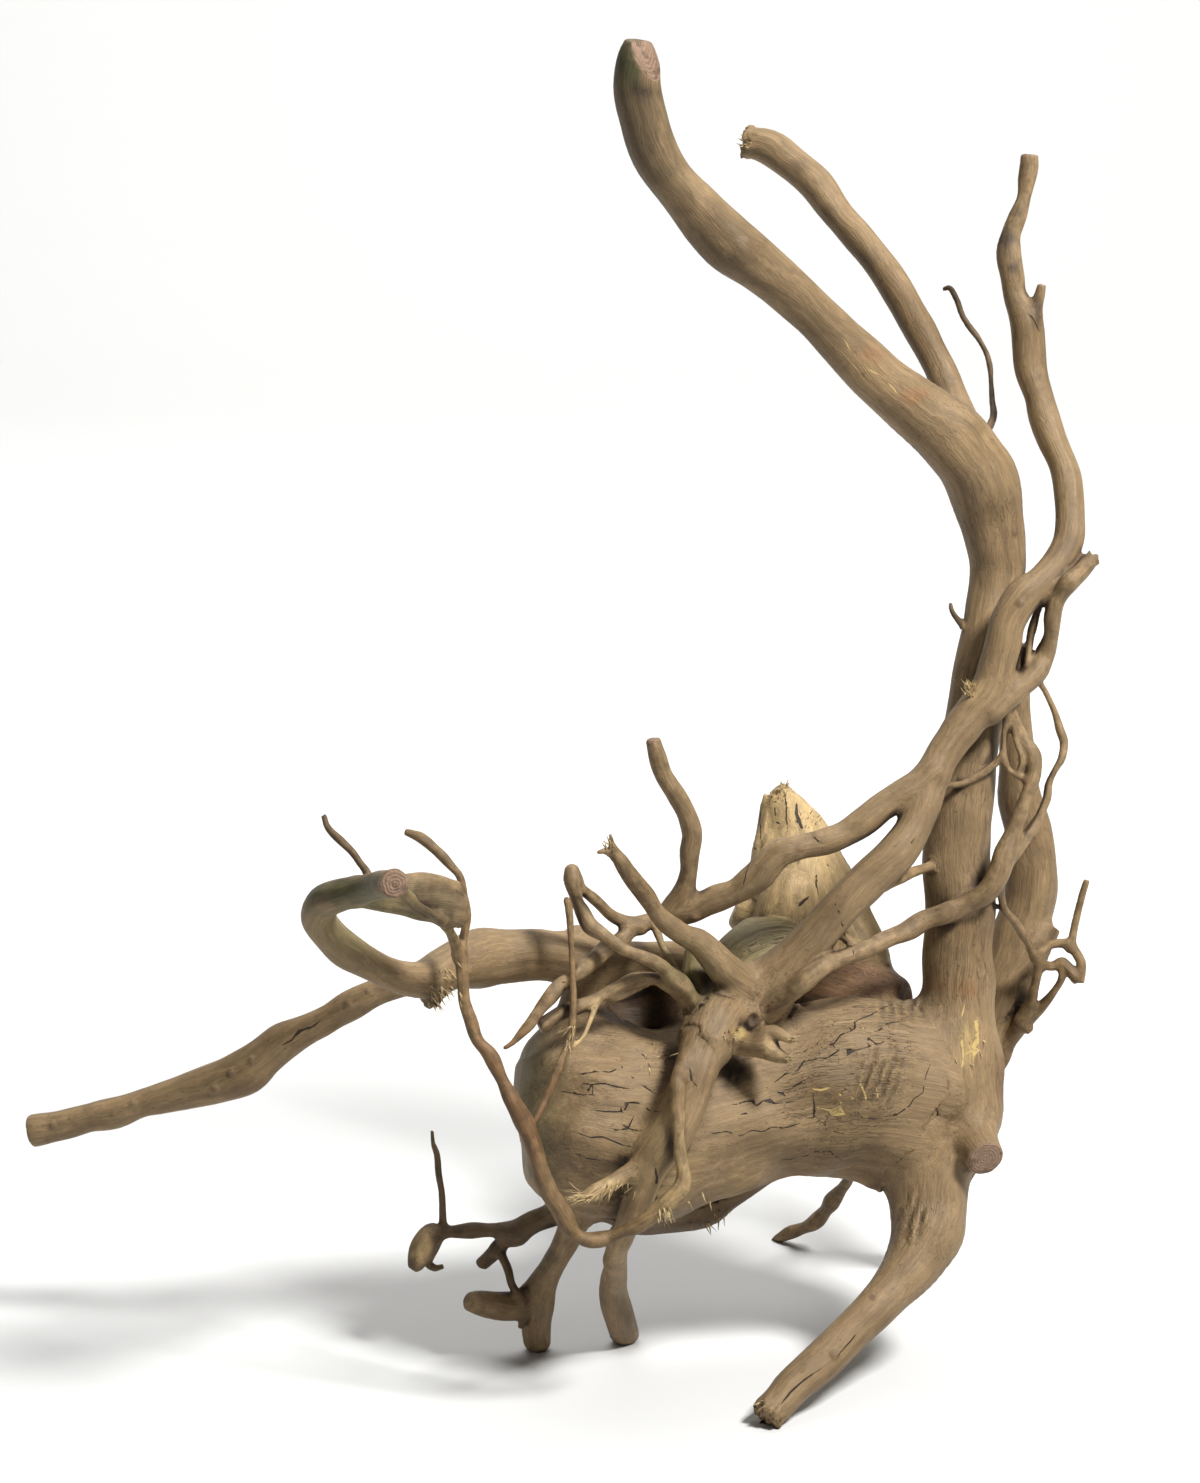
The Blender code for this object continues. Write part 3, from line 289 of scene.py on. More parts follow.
        (-160, 124.8, -1, 7.6), (-174, 121.2, 4, 6.4), (-184, 118.4, 7, 5.4), (-194, 114.8, 10, 6.2),
        (-204, 112.8, 14, 5.6), (-216, 109.6, 17, 5.6), (-224, 108.2, 19, 6.3), (-227.4, 107.6, 20, 6.4),
    ],
    # The log is the heavy body. Its left end is a broad face turned left and a little forwards.
    "log": [
        (135, 112, 6, 6), (132, 113, 6, 13), (126, 117, 6, 21), (119, 121, 6, 29),
        (112, 124, 4, 35.5), (94, 124.8, 0, 34.8), (68, 121.2, -8, 32), (40, 114, -15, 35),
        (8, 110, -23, 37), (-28, 115.5, -32, 30.5),
    ],
    "end_slab": [
        (-10, 130, -22, 22), (-8, 142, -18, 16), (-7, 152, -16, 11), (-6, 161, -14, 9),
        (-5, 168, -14, 8),
    ],
    "cavity_wall": [(-6, 152, -2, 11), (16, 153.2, 6, 12), (44, 156, 6, 17)],
    "under_shelf": [
        (2, 82, -10, 10), (14, 77, -8, 10), (24, 76, -4, 9.6), (40, 77, -2, 8.6), (50, 82, -2, 6.6),
        (60, 88, 0, 6), (70, 95, 2, 6),
    ],
    "hub_dome": [(55, 164, 4, 15), (62, 168.5, 5, 20), (68, 170.5, 7, 21.5), (76, 167, 10, 19)],
    "back_lump": [(78, 166, 28, 18), (92, 162, 27, 19), (106, 159, 23, 17), (120, 155, 16, 12)],
    # The hub joins the front roots to the log.
    "hub": [(60, 158, -12, 15), (52, 155, -26, 13), (46, 151.2, -40, 11.2), (41, 141, -50, 9.6)],
    "strap_root": [
        (46, 149, -42, 10), (38.8, 132, -55, 8.6), (34, 118, -59, 8.8), (28, 106, -61, 8.8),
        (20.8, 96, -60, 8), (17.2, 86, -58, 6.4), (14.4, 78, -55, 6), (10.8, 70, -50, 5.6),
        (6.8, 62, -38, 4.9), (6, 54, -24, 4.6), (5.2, 46, -8, 5.6), (6, 40, 2, 6),
        (7.6, 32.8, 12, 6), (9.6, 26, 24, 5.8), (10.2, 20, 28, 5.4),
    ],
    "frayed_stub": [
        (20, 94, -60, 4.4), (10, 90, -64, 3.8), (2, 85.2, -68, 3.8),
        (-4.8, 81.2, -71, 3.2), (-8.8, 81, -72, 2.4),
    ],
    "forked_stub": [
        (46, 147, -42, 6), (56, 143.2, -46, 5.4),
        (63.2, 142, -50, 5.2), (68.5, 142.8, -52, 5.4),
    ],
    "forked_stub_upper": [(67, 145, -52, 4), (70, 146.8, -54, 3.2), (77.6, 143.6, -57, 1.8)],
    "forked_stub_lower": [(67, 141, -52, 4), (70, 138.4, -54, 3.4), (76, 136, -57, 2)],
    # The snag behind is a torn stump: three splinters of different heights on one foot.
    "snag_middle": [
        (80, 182, 38, 22), (79.2, 196, 41, 20), (79.2, 208, 43, 17.5), (78.8, 219, 45, 14.6),
        (76.8, 229, 46, 10.6), (74, 238, 47, 6.2), (72.4, 245, 48, 2.4),
    ],
    "snag_left": [(67, 216, 44, 7), (66.4, 227, 46, 4.4), (67, 236, 47, 3.2), (67.4, 242, 48, 1.6)],
    "snag_right": [
        (106, 166, 26, 12), (104, 178, 32, 11), (98, 190, 36, 11.4), (95, 204, 40, 9),
        (91, 216, 43, 6.4), (87.2, 226, 45, 4.6), (83, 234, 46, 2.6),
    ],
    "snag_heel": [(66, 192, 38, 11), (60, 194, 40, 9), (54.5, 196.8, 40, 5)],
    "snag_lobe": [(76, 194, 26, 13), (77, 202, 25, 11.5), (78, 208, 28, 8)],
    # The back limb comes down behind the trunk and ends as the back foot.
    "back_limb": [
        (162, 312, 8, 4), (165.6, 298, 20, 4.2), (167.2, 284, 28, 4.8), (166.8, 264, 34, 6.4),
        (168, 244, 39, 8.8), (171.2, 228, 43, 10), (172.8, 212, 45, 10.8), (171.2, 198, 46, 10.8),
        (167.2, 184, 46, 10.4), (162, 168, 45, 10.4), (156, 152, 46, 11.2), (150.8, 136, 52, 11),
        (146, 120, 62, 10), (139.2, 102, 75, 9), (132, 84, 88, 8.6), (126, 66, 101, 8.2),
        (122, 52, 110, 8), (119, 44, 115, 8),
    ],
    "pale_stub": [
        (161.2, 158.8, 44, 8), (168.8, 172.8, 42, 7.2), (176, 183.2, 40, 5.2), (181, 190, 40, 4),
    ],
    "winding_twig": [
        (160, 207, -14, 2.2), (160.4, 202, -10, 1.7), (162, 196, -4, 1.7), (166, 191.2, 4, 1.8),
        (170, 185.2, 12, 2), (172.8, 179.2, 18, 2), (176, 174.8, 22, 2), (180.8, 173.2, 24, 2),
        (184.8, 174.8, 24, 2), (188, 172, 23, 2.2), (191.4, 168, 22, 2.2),
    ],
    "claw_arch": [
        (174.4, 176.8, 20, 2), (177.2, 180, 23, 1.8), (180, 182, 24, 1.8), (184, 182.8, 24, 1.8),
        (188, 182, 24, 1.8), (191.2, 178, 23, 1.8), (192.8, 174, 22, 1.8), (192, 166.8, 22, 1.8),
    ],
    "claw_twig": [
        (188, 181, 24, 1.9), (188.8, 184, 24, 1.6), (190.4, 192, 24, 1.6), (192.4, 200, 23, 1.4),
        (194.8, 208, 22, 1.2),
    ],
    "claw_strand": [
        (176, 175, 22, 2), (174, 166, 25, 2), (172, 158, 30, 2.4), (168.8, 151.2, 35, 3.6),
        (164, 144, 40, 3.6), (161.6, 137.2, 42, 3), (158, 132, 46, 3),
    ],
    "claw_strand_back": [
        (184.8, 174.5, 24, 1.8), (184.8, 168.8, 23, 1.6), (181.2, 162.8, 26, 1.6), (177.2, 158, 30, 2),
        (173.2, 154, 33, 2.4), (169, 151, 35, 3),
    ],
    "claw_knob": [(168.8, 151.2, 34, 3), (172.4, 147.2, 33, 1.6)],
    "frayed_peg": [
        (134, 213.6, -6, 2.6), (130, 212.8, -13, 2), (124, 210.8, -22, 2),
        (118, 208, -30, 2.4), (113.2, 205, -34, 2.2),
    ],
    "small_prop": [
        (94, 190, -34, 3), (97, 186.4, -32, 2.4),
        (103.2, 180.4, -30, 2.4), (106, 179, -30, 2.4),
    ],
    # The front leg swings down and forwards to its foot.
    "front_leg": [
        (136, 106, 2, 17), (132.6, 90, -5, 15.4), (132, 76, -8, 15.2), (130.4, 65, -14, 13.8),
        (124, 52.4, -22, 10.8), (117, 44, -28, 9), (110.4, 37.2, -34, 8.2), (101.6, 28.4, -40, 7.8),
        (87.6, 14.4, -48, 7.8), (77.2, 5.6, -54, 7.4), (72.8, 0.4, -57, 6.8), (66, -7, -61, 6.6),
    ],
    # The left foot and the dark roots beside it
    "left_foot": [
        (-4, 84, -16, 10), (-10, 71, -11, 5.8), (-14, 62, -6, 5.2), (-18, 55.2, 0, 5.2),
        (-22, 48, 5, 5.6), (-24.8, 41.2, 8, 6.8), (-25.2, 34, 11, 6.4), (-25.2, 27, 14, 5.6),
        (-24.8, 18, 18, 4.8),
    ],
    "left_foot_peg": [(-26, 38, 9, 6), (-38, 37.6, 4, 6), (-46, 38.4, 0, 5.2), (-53, 39.4, -5, 3.4)],
    "dark_root": [
        (-12, 84, -10, 8), (-18, 75.2, -2, 5), (-26, 71.2, 0, 4.4), (-34, 67.2, 1, 4.8),
        (-42, 68, 2, 3.4), (-50, 68, 3, 3.2), (-58, 67.2, 4, 2.8), (-64, 67.2, 4, 2.8),
        (-67.6, 66, 4, 3.8), (-71, 61, 3, 4.4), (-73, 55.6, 2, 3.4), (-75, 52.2, 2, 1.6),
    ],
    "dark_hook": [
        (-64.8, 65, 5, 2.4), (-66.4, 60, 9, 2), (-68.8, 55.2, 11, 2),
        (-66, 52.8, 12, 1.6), (-62.4, 53.6, 12, 1),
    ],
    "dark_fork": [(-33, 66, 2, 3.6), (-38, 63.6, 5, 3.2), (-42, 59.2, 8, 3.2), (-47.4, 54, 12, 2.8)],
    "rising_thread": [
        (-62.8, 67, 4, 2.2), (-62.8, 71, 4, 1.6), (-63.2, 82, 2, 1.4), (-64.4, 90, 0, 1.3),
        (-65.2, 98, -2, 1.3), (-66.8, 102.8, -3, 1.1), (-67.2, 108, -4, 1),
    ],
    "fork_thread": [
        (-41, 60.5, 7, 2.2), (-39.2, 57.4, 4, 1.8), (-36.8, 52, 2, 1.8), (-35.2, 46, 1, 1.8),
        (-32, 40.8, 2, 2), (-30.4, 36, 3, 2), (-31.6, 28.4, 3, 1.3),
    ],
    # The back tip passes under the log and stands on the floor behind.
    "back_tip": [
        (112, 108, 34, 6), (106, 98, 66, 2.8), (100.4, 89.6, 88, 2), (97.2, 85.2, 98, 1.9),
        (95.2, 82.8, 103, 2.4), (93.2, 80, 108, 3.2), (90.4, 76, 115, 3.4), (86, 71.2, 122, 3.2),
        (80, 68.4, 129, 2.8), (74, 65.8, 135, 2.4), (68, 62.6, 141, 2),
    ],
}


class Tint(Enum):
    """Colours of dry wood, and a painted shade for holes, linear RGB."""

    TAN = (0.222, 0.149, 0.076)
    PALE = (0.390, 0.275, 0.132)
    REDDISH = (0.165, 0.088, 0.040)
    CRUSTY = (0.100, 0.063, 0.032)
    GREENISH = (0.178, 0.142, 0.064)
    BROWN = (0.130, 0.086, 0.043)
    UMBER = (0.180, 0.116, 0.055)
    MOSS = (0.085, 0.084, 0.040)
    DARK = (0.090, 0.064, 0.036)
    SAWN = (0.235, 0.150, 0.098)
    STAIN = (0.050, 0.034, 0.022)
    # Painted shade for the dark inside of holes
    HOLE_SHADE = (0.010, 0.007, 0.005)
    RUST = (0.235, 0.100, 0.040)
    FRESH = (0.50, 0.36, 0.13)


# Limbs that aren't tan
TINTED_LIMBS = {
    Tint.UMBER: (
        "looping_root", "loop_tie", "hanging_thread", "claw_arch", "claw_strand", "claw_strand_back",
        "claw_knob", "winding_twig", "back_tip", "left_foot_peg",
    ),
    Tint.PALE: ("pale_splinter", "snag_middle", "snag_left", "snag_right", "snag_lobe", "snag_heel"),
    Tint.CRUSTY: (
        "dark_root", "dark_hook", "dark_fork", "rising_thread", "fork_thread", "torn_heel",
        "under_shelf", "top_twig", "trunk_twig", "hook_twig",
    ),
    Tint.GREENISH: ("hub_dome", "greenish_lump"),
    Tint.REDDISH: ("cavity_wall", "back_lump"),
}
LIMB_TINTS = {name: tint for tint, names in TINTED_LIMBS.items() for name in names}

# Limbs that meet the others in a sharp crease
CREASED_LIMBS = (
    "hub_dome", "greenish_lump", "snag_middle", "snag_left", "snag_right", "snag_lobe", "snag_heel",
    "back_lump", "forked_stub_upper", "forked_stub_lower",
)
SAWN_LIMBS = ("trunk", "sawn_stub", "right_limb", "left_limb", "long_left_root", "upright_root", "log")
TORN_LIMBS = (
    "second_limb", "front_leg", "torn_heel", "frayed_stub", "forked_stub_upper", "forked_stub_lower",
    "splintered_root", "knobbed_root", "snag_middle", "snag_left", "snag_right", "knobby_limb",
)

# The oblique sawn face at the trunk's top: its middle on the sheet, the way it faces, and the saw's reach
TOP_FACE_MIDDLE = (20.0, 536.0, -71.0)
TOP_FACE_FACING = Vector((0.74, -0.52, 0.42)).normalized()
TOP_FACE_REACH = 26.0


@dataclass(frozen=True)
class Crack:
    """A drying crack along the grain: points on the sheet, and its half-width in the middle."""

    points: tuple[tuple[float, float], ...]
    half_width: float = 0.22


@dataclass(frozen=True)
class Knot:
    """A knot: its place on the sheet, its radius, how far it stands out, and how dark its eye is."""

    across: float
    up: float
    radius: float
    height: float = 0.5
    darkness: float = 0.5


@dataclass(frozen=True)
class Patch:
    """A blotch of another colour, some of them painted shade: its place and half-size on the sheet, its
    colour and its strength.
    """

    across: float
    up: float
    half_width: float
    half_height: float
    tint: Tint
    strength: float = 0.7


@dataclass(frozen=True)
class Ripple:
    """Curly grain: its place and half-size on the sheet."""

    across: float
    up: float
    half_width: float
    half_height: float


CRACKS = (
    Crack(((-12, 131.2), (8.8, 133.2), (22, 123.2)), 0.3),
    Crack(((-16, 124), (-2, 121.2))),
    Crack(((10, 119.6), (24, 114.8)), 0.25),
    Crack(((-3.2, 117.2), (12.8, 114.4))),
    Crack(((2, 108.8), (20, 108)), 0.28),
    Crack(((-12, 107.6), (0, 104), (12.8, 101.2)), 0.25),
    Crack(((56.8, 114), (76, 126), (84, 130)), 0.25),
    Crack(((94, 136), (118, 146)), 0.23),
    Crack(((40, 107.2), (56, 106), (84, 112)), 0.2),
    Crack(((92, 113.2), (120, 113.2), (130, 124), (132.8, 136)), 0.28),
    Crack(((120, 107), (128, 104.4)), 0.25),
    Crack(((72, 96), (92, 98.8), (98, 96)), 0.25),
    Crack(((73.2, -1), (80, 6.8), (90, 13.2)), 0.25),
    Crack(((170, 435.2), (176, 428)), 0.3),
    Crack(((36, 133), (38.8, 124)), 0.55),
    Crack(((22, 92), (24, 82)), 0.45),
    Crack(((10, 88), (10, 80)), 0.35),
    Crack(((68.8, 238), (70, 231.2), (70.8, 224)), 0.4),
    Crack(((78.4, 240.5), (78.8, 235.2), (80.8, 230), (81.6, 226.5)), 0.7),
    Crack(((88.8, 218), (92, 214), (94, 207)), 0.5),
    Crack(((78.8, 198), (83.2, 201.6)), 0.7),
    Crack(((86.8, 211.2), (88, 202)), 0.45),
    Crack(((57.6, 228), (58.4, 214), (57, 205)), 0.25),
    Crack(((63.2, 236), (64, 222)), 0.25),
    Crack(((73.6, 242), (74.4, 228)), 0.3),
    Crack(((84, 228), (88.8, 219)), 0.3),
    Crack(((90, 206), (97, 190), (101.6, 178)), 0.25),
    Crack(((84, 122), (90, 110), (100, 104.8)), 0.2),
    Crack(((66, 124), (82, 136), (100, 141)), 0.2),
    Crack(((76, 139), (92, 144), (104, 151)), 0.2),
    Crack(((48, 118), (64, 120), (78, 119)), 0.2),
    Crack(((-18, 100), (-6, 96), (8, 94)), 0.2),
    Crack(((-8, 126.5), (6, 126), (14, 124)), 0.2),
    Crack(((14, 140), (26, 131)), 0.2),
    Crack(((106, 142), (116, 151), (124, 154)), 0.25),
    Crack(((100, 150), (112, 157), (122, 160)), 0.25),
    Crack(((104, 30), (96, 17)), 0.2),
    Crack(((112, 84), (116, 66), (111, 50)), 0.18),
    Crack(((-128, 142), (-112, 151)), 0.2),
)

# Yellow scrapes where the skin is torn off
SCRAPES = (
    Crack(((144.8, 158), (145.6, 144), (144.4, 130)), 0.55),
    Crack(((148.8, 155), (150, 142), (149, 134)), 0.4),
    Crack(((152, 152), (151.6, 140)), 0.4),
    Crack(((85, 124), (93, 124.8)), 0.45),
    Crack(((96, 126), (97.2, 117)), 0.45),
    Crack(((100.4, 128), (101.6, 119)), 0.45),
    Crack(((105, 127), (106.6, 118.4)), 0.45),
    Crack(((110, 128), (111.6, 121)), 0.4),
    Crack(((93.6, 112.8), (103.2, 113.6)), 0.5),
    Crack(((88, 116.8), (94, 115.6)), 0.4),
    Crack(((133, 228), (134.4, 221)), 0.4),
    Crack(((107, 414), (112, 409)), 0.4),
    Crack(((98, 424), (101.6, 419)), 0.35),
    Crack(((115, 407), (120, 402)), 0.35),
)

KNOTS = (
    Knot(58.8, 458.8, 5, 1, 0.35),
    Knot(167.2, 346.8, 1.8, 0.6, 0.7),
    Knot(167.2, 319.2, 1.8, 0.6, 0.6),
    Knot(142.4, 102, 2.4, 0.7, 0.35),
    Knot(86, 227.2, 2, 0.8, 0.5),
    Knot(81.2, 220.4, 1.8, 0.6, 0.5),
    Knot(-220, 110.4, 1.8, 0.6, 0.6),
    Knot(-188, 118.8, 1.6, 0.6, 0.5),
    Knot(-196, 114.4, 1.3, 0.4, 0.6),
    Knot(-154, 123.2, 2.2, 0.8, 0.6),
    Knot(-148.4, 130.4, 2, 0.8, 0.6),
    Knot(-140.4, 135.2, 2, 0.8, 0.5),
    Knot(-102, 158, 1.8, 0.8, 0.5),
    Knot(-93.2, 164, 1.6, 0.6, 0.5),
    Knot(108.4, 41.6, 1.4, -0.5, 1),
    Knot(94.4, 19.2, 2.2, 0.9, 0.6),
    Knot(38, 192, 1.8, 0.6, 0.5),
    Knot(62, 152, 2.4, -1.4, 1),
    Knot(163, 254, 2, 0.5, 0.5),
)

PATCHES = (
    Patch(18.8, 524, 5, 4, Tint.STAIN, 0.6),
    Patch(80, 493, 5, 4.5, Tint.STAIN, 0.4),
    Patch(91, 473, 4.5, 6, Tint.STAIN, 0.35),
    Patch(107, 455, 5, 6, Tint.STAIN, 0.35),
    Patch(162, 464, 6, 5, Tint.STAIN, 0.9),
    Patch(165.6, 453, 4, 3.4, Tint.STAIN, 0.9),
    Patch(167, 480, 6, 22, Tint.BROWN, 0.6),
    Patch(175, 436, 3, 8, Tint.STAIN, 0.7),
    Patch(108, 418.4, 6, 4.5, Tint.RUST, 0.55),
    Patch(126, 402, 7, 4, Tint.RUST, 0.5),
    Patch(-86, 190, 34, 24, Tint.GREENISH, 0.8),
    Patch(-28, 120, 14, 44, Tint.GREENISH, 0.7),
    Patch(40, 168, 9, 14, Tint.GREENISH, 0.7),
    # Painted shade: near-black in two holes near the hub
    Patch(54, 131, 8.5, 7, Tint.HOLE_SHADE, 1),
    Patch(60, 150, 5, 4, Tint.HOLE_SHADE, 0.9),
    # The upper trunk darker: partly its own browner wood, partly painted shade on the left side of its top
    # end
    Patch(6, 510, 36, 46, Tint.DARK, 0.7),
    Patch(50, 462, 32, 22, Tint.BROWN, 0.9),
    Patch(90, 424, 26, 18, Tint.BROWN, 0.5),
    Patch(-103, 204, 22, 9, Tint.MOSS, 0.85),
    # Painted shade over the flat blade behind the hook root
    Patch(-66, 199, 17, 14, Tint.DARK, 0.75),
    Patch(-37, 120, 24, 54, Tint.REDDISH, 0.75),
    Patch(26, 92, 17, 30, Tint.PALE, 0.45),
    Patch(12, 62, 14, 9, Tint.PALE, 0.35),
    Patch(8, 154, 16, 7, Tint.STAIN, 0.85),
    Patch(28, 157, 11, 12, Tint.STAIN, 0.6),
    Patch(136, 167, 5, 4, Tint.RUST, 0.5),
    Patch(147, 164, 5, 3.4, Tint.RUST, 0.5),
    Patch(10.4, 533, 6, 13, Tint.MOSS, 0.9),
    Patch(15, 523.4, 9, 2.8, Tint.STAIN, 0.9),
    Patch(-71, 61, 5, 9, Tint.PALE, 0.7),
    Patch(14, 35, 8, 9, Tint.BROWN, 0.5),
    Patch(-14, 32, 10, 10, Tint.BROWN, 0.3),
    Patch(3, 84.5, 14, 7, Tint.PALE, 0.95),
    Patch(-22, 57, 6, 8, Tint.DARK, 0.7),
    Patch(15, 33, 9, 8, Tint.DARK, 0.5),
    Patch(-14, 26, 8, 6, Tint.PALE, 0.5),
    Patch(22, 60, 7, 7, Tint.REDDISH, 0.5),
    Patch(72, 141, 8, 7, Tint.PALE, 0.6),
    Patch(-66, 162, 7, 5, Tint.DARK, 0.7),
    Patch(162, 128, 4, 24, Tint.REDDISH, 0.8),
    Patch(146, 230, 20, 6, Tint.BROWN, 0.4),
    Patch(92, 165, 14, 8, Tint.REDDISH, 0.7),
    Patch(66, 205, 8, 10, Tint.BROWN, 0.45),
    Patch(30, 176, 10, 12, Tint.GREENISH, 0.6),
    Patch(30, 104, 8, 18, Tint.PALE, 0.3),
    # Painted shade: darker along the lower side of the log
    Patch(60, 100, 60, 10, Tint.BROWN, 0.5),
    Patch(95, 130, 40, 16, Tint.BROWN, 0.25),
    Patch(45, 140, 12, 26, Tint.BROWN, 0.3),
    Patch(18, 152, 20, 10, Tint.STAIN, 0.35),
    Patch(149, 284, 5, 5, Tint.PALE, 0.6),
    Patch(148, 144, 3, 12, Tint.FRESH, 0.3),
    Patch(56, 147, 3, 2.5, Tint.FRESH, 0.7),
    Patch(112, 70, 8, 5, Tint.PALE, 0.3),
    Patch(77, 206, 12, 12, Tint.TAN, 0.5),
)

RIPPLES = (
    Ripple(112, 130, 11, 15),
    Ripple(121, 157, 12, 9),
    Ripple(124, 72, 7, 12),
)


@dataclass(frozen=True)
class Tuft:
    """Torn fibres: their middle and spread on the sheet, the way they lean, their number and length."""

    across: float
    up: float
    spread: float
    lean: tuple[float, float, float]
    count: int
    length: float


# Joints worn smooth: the place on the sheet and the reach
WORN_JOINTS = ((139.5, 110.5, 9), (149, 118, 8), (141, 98, 6), (145, 108, 6))

# The lean is across, up and back on the sheet
TUFTS = (
    Tuft(-6, 82, 3.4, (-1, -0.25, -0.2), 46, 5.5),
    Tuft(3, 83, 5, (-0.8, -0.9, -0.3), 34, 3.6),
    Tuft(10, 85, 4, (-0.5, -1, -0.3), 16, 3),
    Tuft(-66, 161, 5, (0.35, -1, -0.2), 30, 3.6),
    Tuft(-59, 163, 3, (0.6, -0.8, -0.2), 14, 3),
    Tuft(25.6, 74, 3, (0.5, -0.9, -0.3), 22, 3.4),
    Tuft(53, 147, 3.2, (0.6, -0.2, -0.7), 20, 2.6),
    Tuft(147, 284, 3.6, (-0.3, 0.9, -0.4), 26, 4),
    Tuft(69, 240, 2.6, (-0.1, 1, 0), 14, 2.4),
    Tuft(74, 244, 3, (0, 1, 0), 16, 2.6),
    Tuft(84, 232, 4, (0.4, 0.9, -0.1), 14, 2.2),
    Tuft(76.5, 144, 2.4, (1, 0.1, -0.3), 20, 2.4),
    Tuft(75, 136.5, 2.4, (0.9, -0.4, -0.3), 18, 2.4),
    Tuft(4.4, 221, 2.4, (-0.3, 1, 0), 18, 3.2),
    Tuft(-12, 147, 4, (-0.4, -1, -0.2), 16, 6),
    Tuft(24, 137, 8, (-0.3, -1, -0.3), 14, 3.2),
    Tuft(58, 503, 3.5, (-1, 0.1, 0), 10, 1.8),
    Tuft(66, 0, 4, (-0.7, -0.5, -0.3), 12, 2),
    Tuft(148, 140, 6, (0.1, -1, -0.2), 14, 2.6),
    Tuft(44, 74, 10, (0.2, -1, -0.3), 18, 3.4),
    Tuft(-62, 173, 5, (0.8, -0.6, -0.1), 10, 3),
)


def smooth_step(low: float, high: float, value: np.ndarray) -> np.ndarray:
    """Rises smoothly from 0 at low to 1 at high.

    Args:
        low: Where the rise starts.
        high: Where it ends; may be below low.
        value: The values to map.

    Returns:
        Values from 0 to 1.
    """
    share = np.clip((value - low) / (high - low), 0, 1)
    return share * share * (3 - 2 * share)


def lattice_noise(points: np.ndarray, seed: int) -> np.ndarray:
    """Smooth noise on a unit lattice.

    Args:
        points: Places, one row each.
        seed: Chooses the noise.

    Returns:
        A value from -1 to 1 for each place.
    """
    cell = np.floor(points).astype(np.int64)
    share = points - cell
    share = share * share * (3 - 2 * share)
    total = np.zeros(len(points))
    for corner in itertools.product((0, 1), repeat=3):
        x, y, z = (cell + corner).T
        mixed = (x * 73856093) ^ (y * 19349663) ^ (z * 83492791) ^ (seed * 83492791)
        mixed = (mixed ^ (mixed >> 13)) * 1274126177 & 0x7FFFFFFF
        mixed = (mixed ^ (mixed >> 15)) * 97 & 0xFFFF
        weight = np.prod(np.where(corner, share, 1 - share), axis=1)
        total += weight * (mixed / 0x7FFF - 1)
    return total


class Sheet:
    """The front drawing: points drawn at (across, up) that lie back along the line of sight."""

    @staticmethod
    def to_space(across: float, up: float, back: float) -> Vector:
        """Finds a drawn point's place.

        Args:
            across: Millimetres to the right on the sheet.
            up: Millimetres up the sheet.
            back: Millimetres behind the sheet.

        Returns:
            The place in space, in millimetres.
        """
        spread = 1.0 + back / EYE_DISTANCE
        rise = (up - SHEET_CENTRE_UP) * spread
        place = EYE_UP * rise + EYE_FORWARD * back
        return SHEET_CENTRE + Vector((across * spread, place[1], place[2]))

    @staticmethod
    def to_sheet(points: np.ndarray) -> np.ndarray:
        """Finds where places are drawn.

        Args:
            points: Places in millimetres, one row each.

        Returns:
            Rows of across, up and back.
        """
        offset = points - np.array(SHEET_CENTRE)
        back = offset @ EYE_FORWARD
        spread = 1.0 + back / EYE_DISTANCE
        return np.column_stack([
            offset[:, 0] / spread, offset @ EYE_UP / spread + SHEET_CENTRE_UP, back
        ])


@dataclass
class Footing:
    """Where points lie beside a limb: the nearest segment, the share along it, and the plain gap."""

    segment: np.ndarray
    share: np.ndarray
    gap: np.ndarray


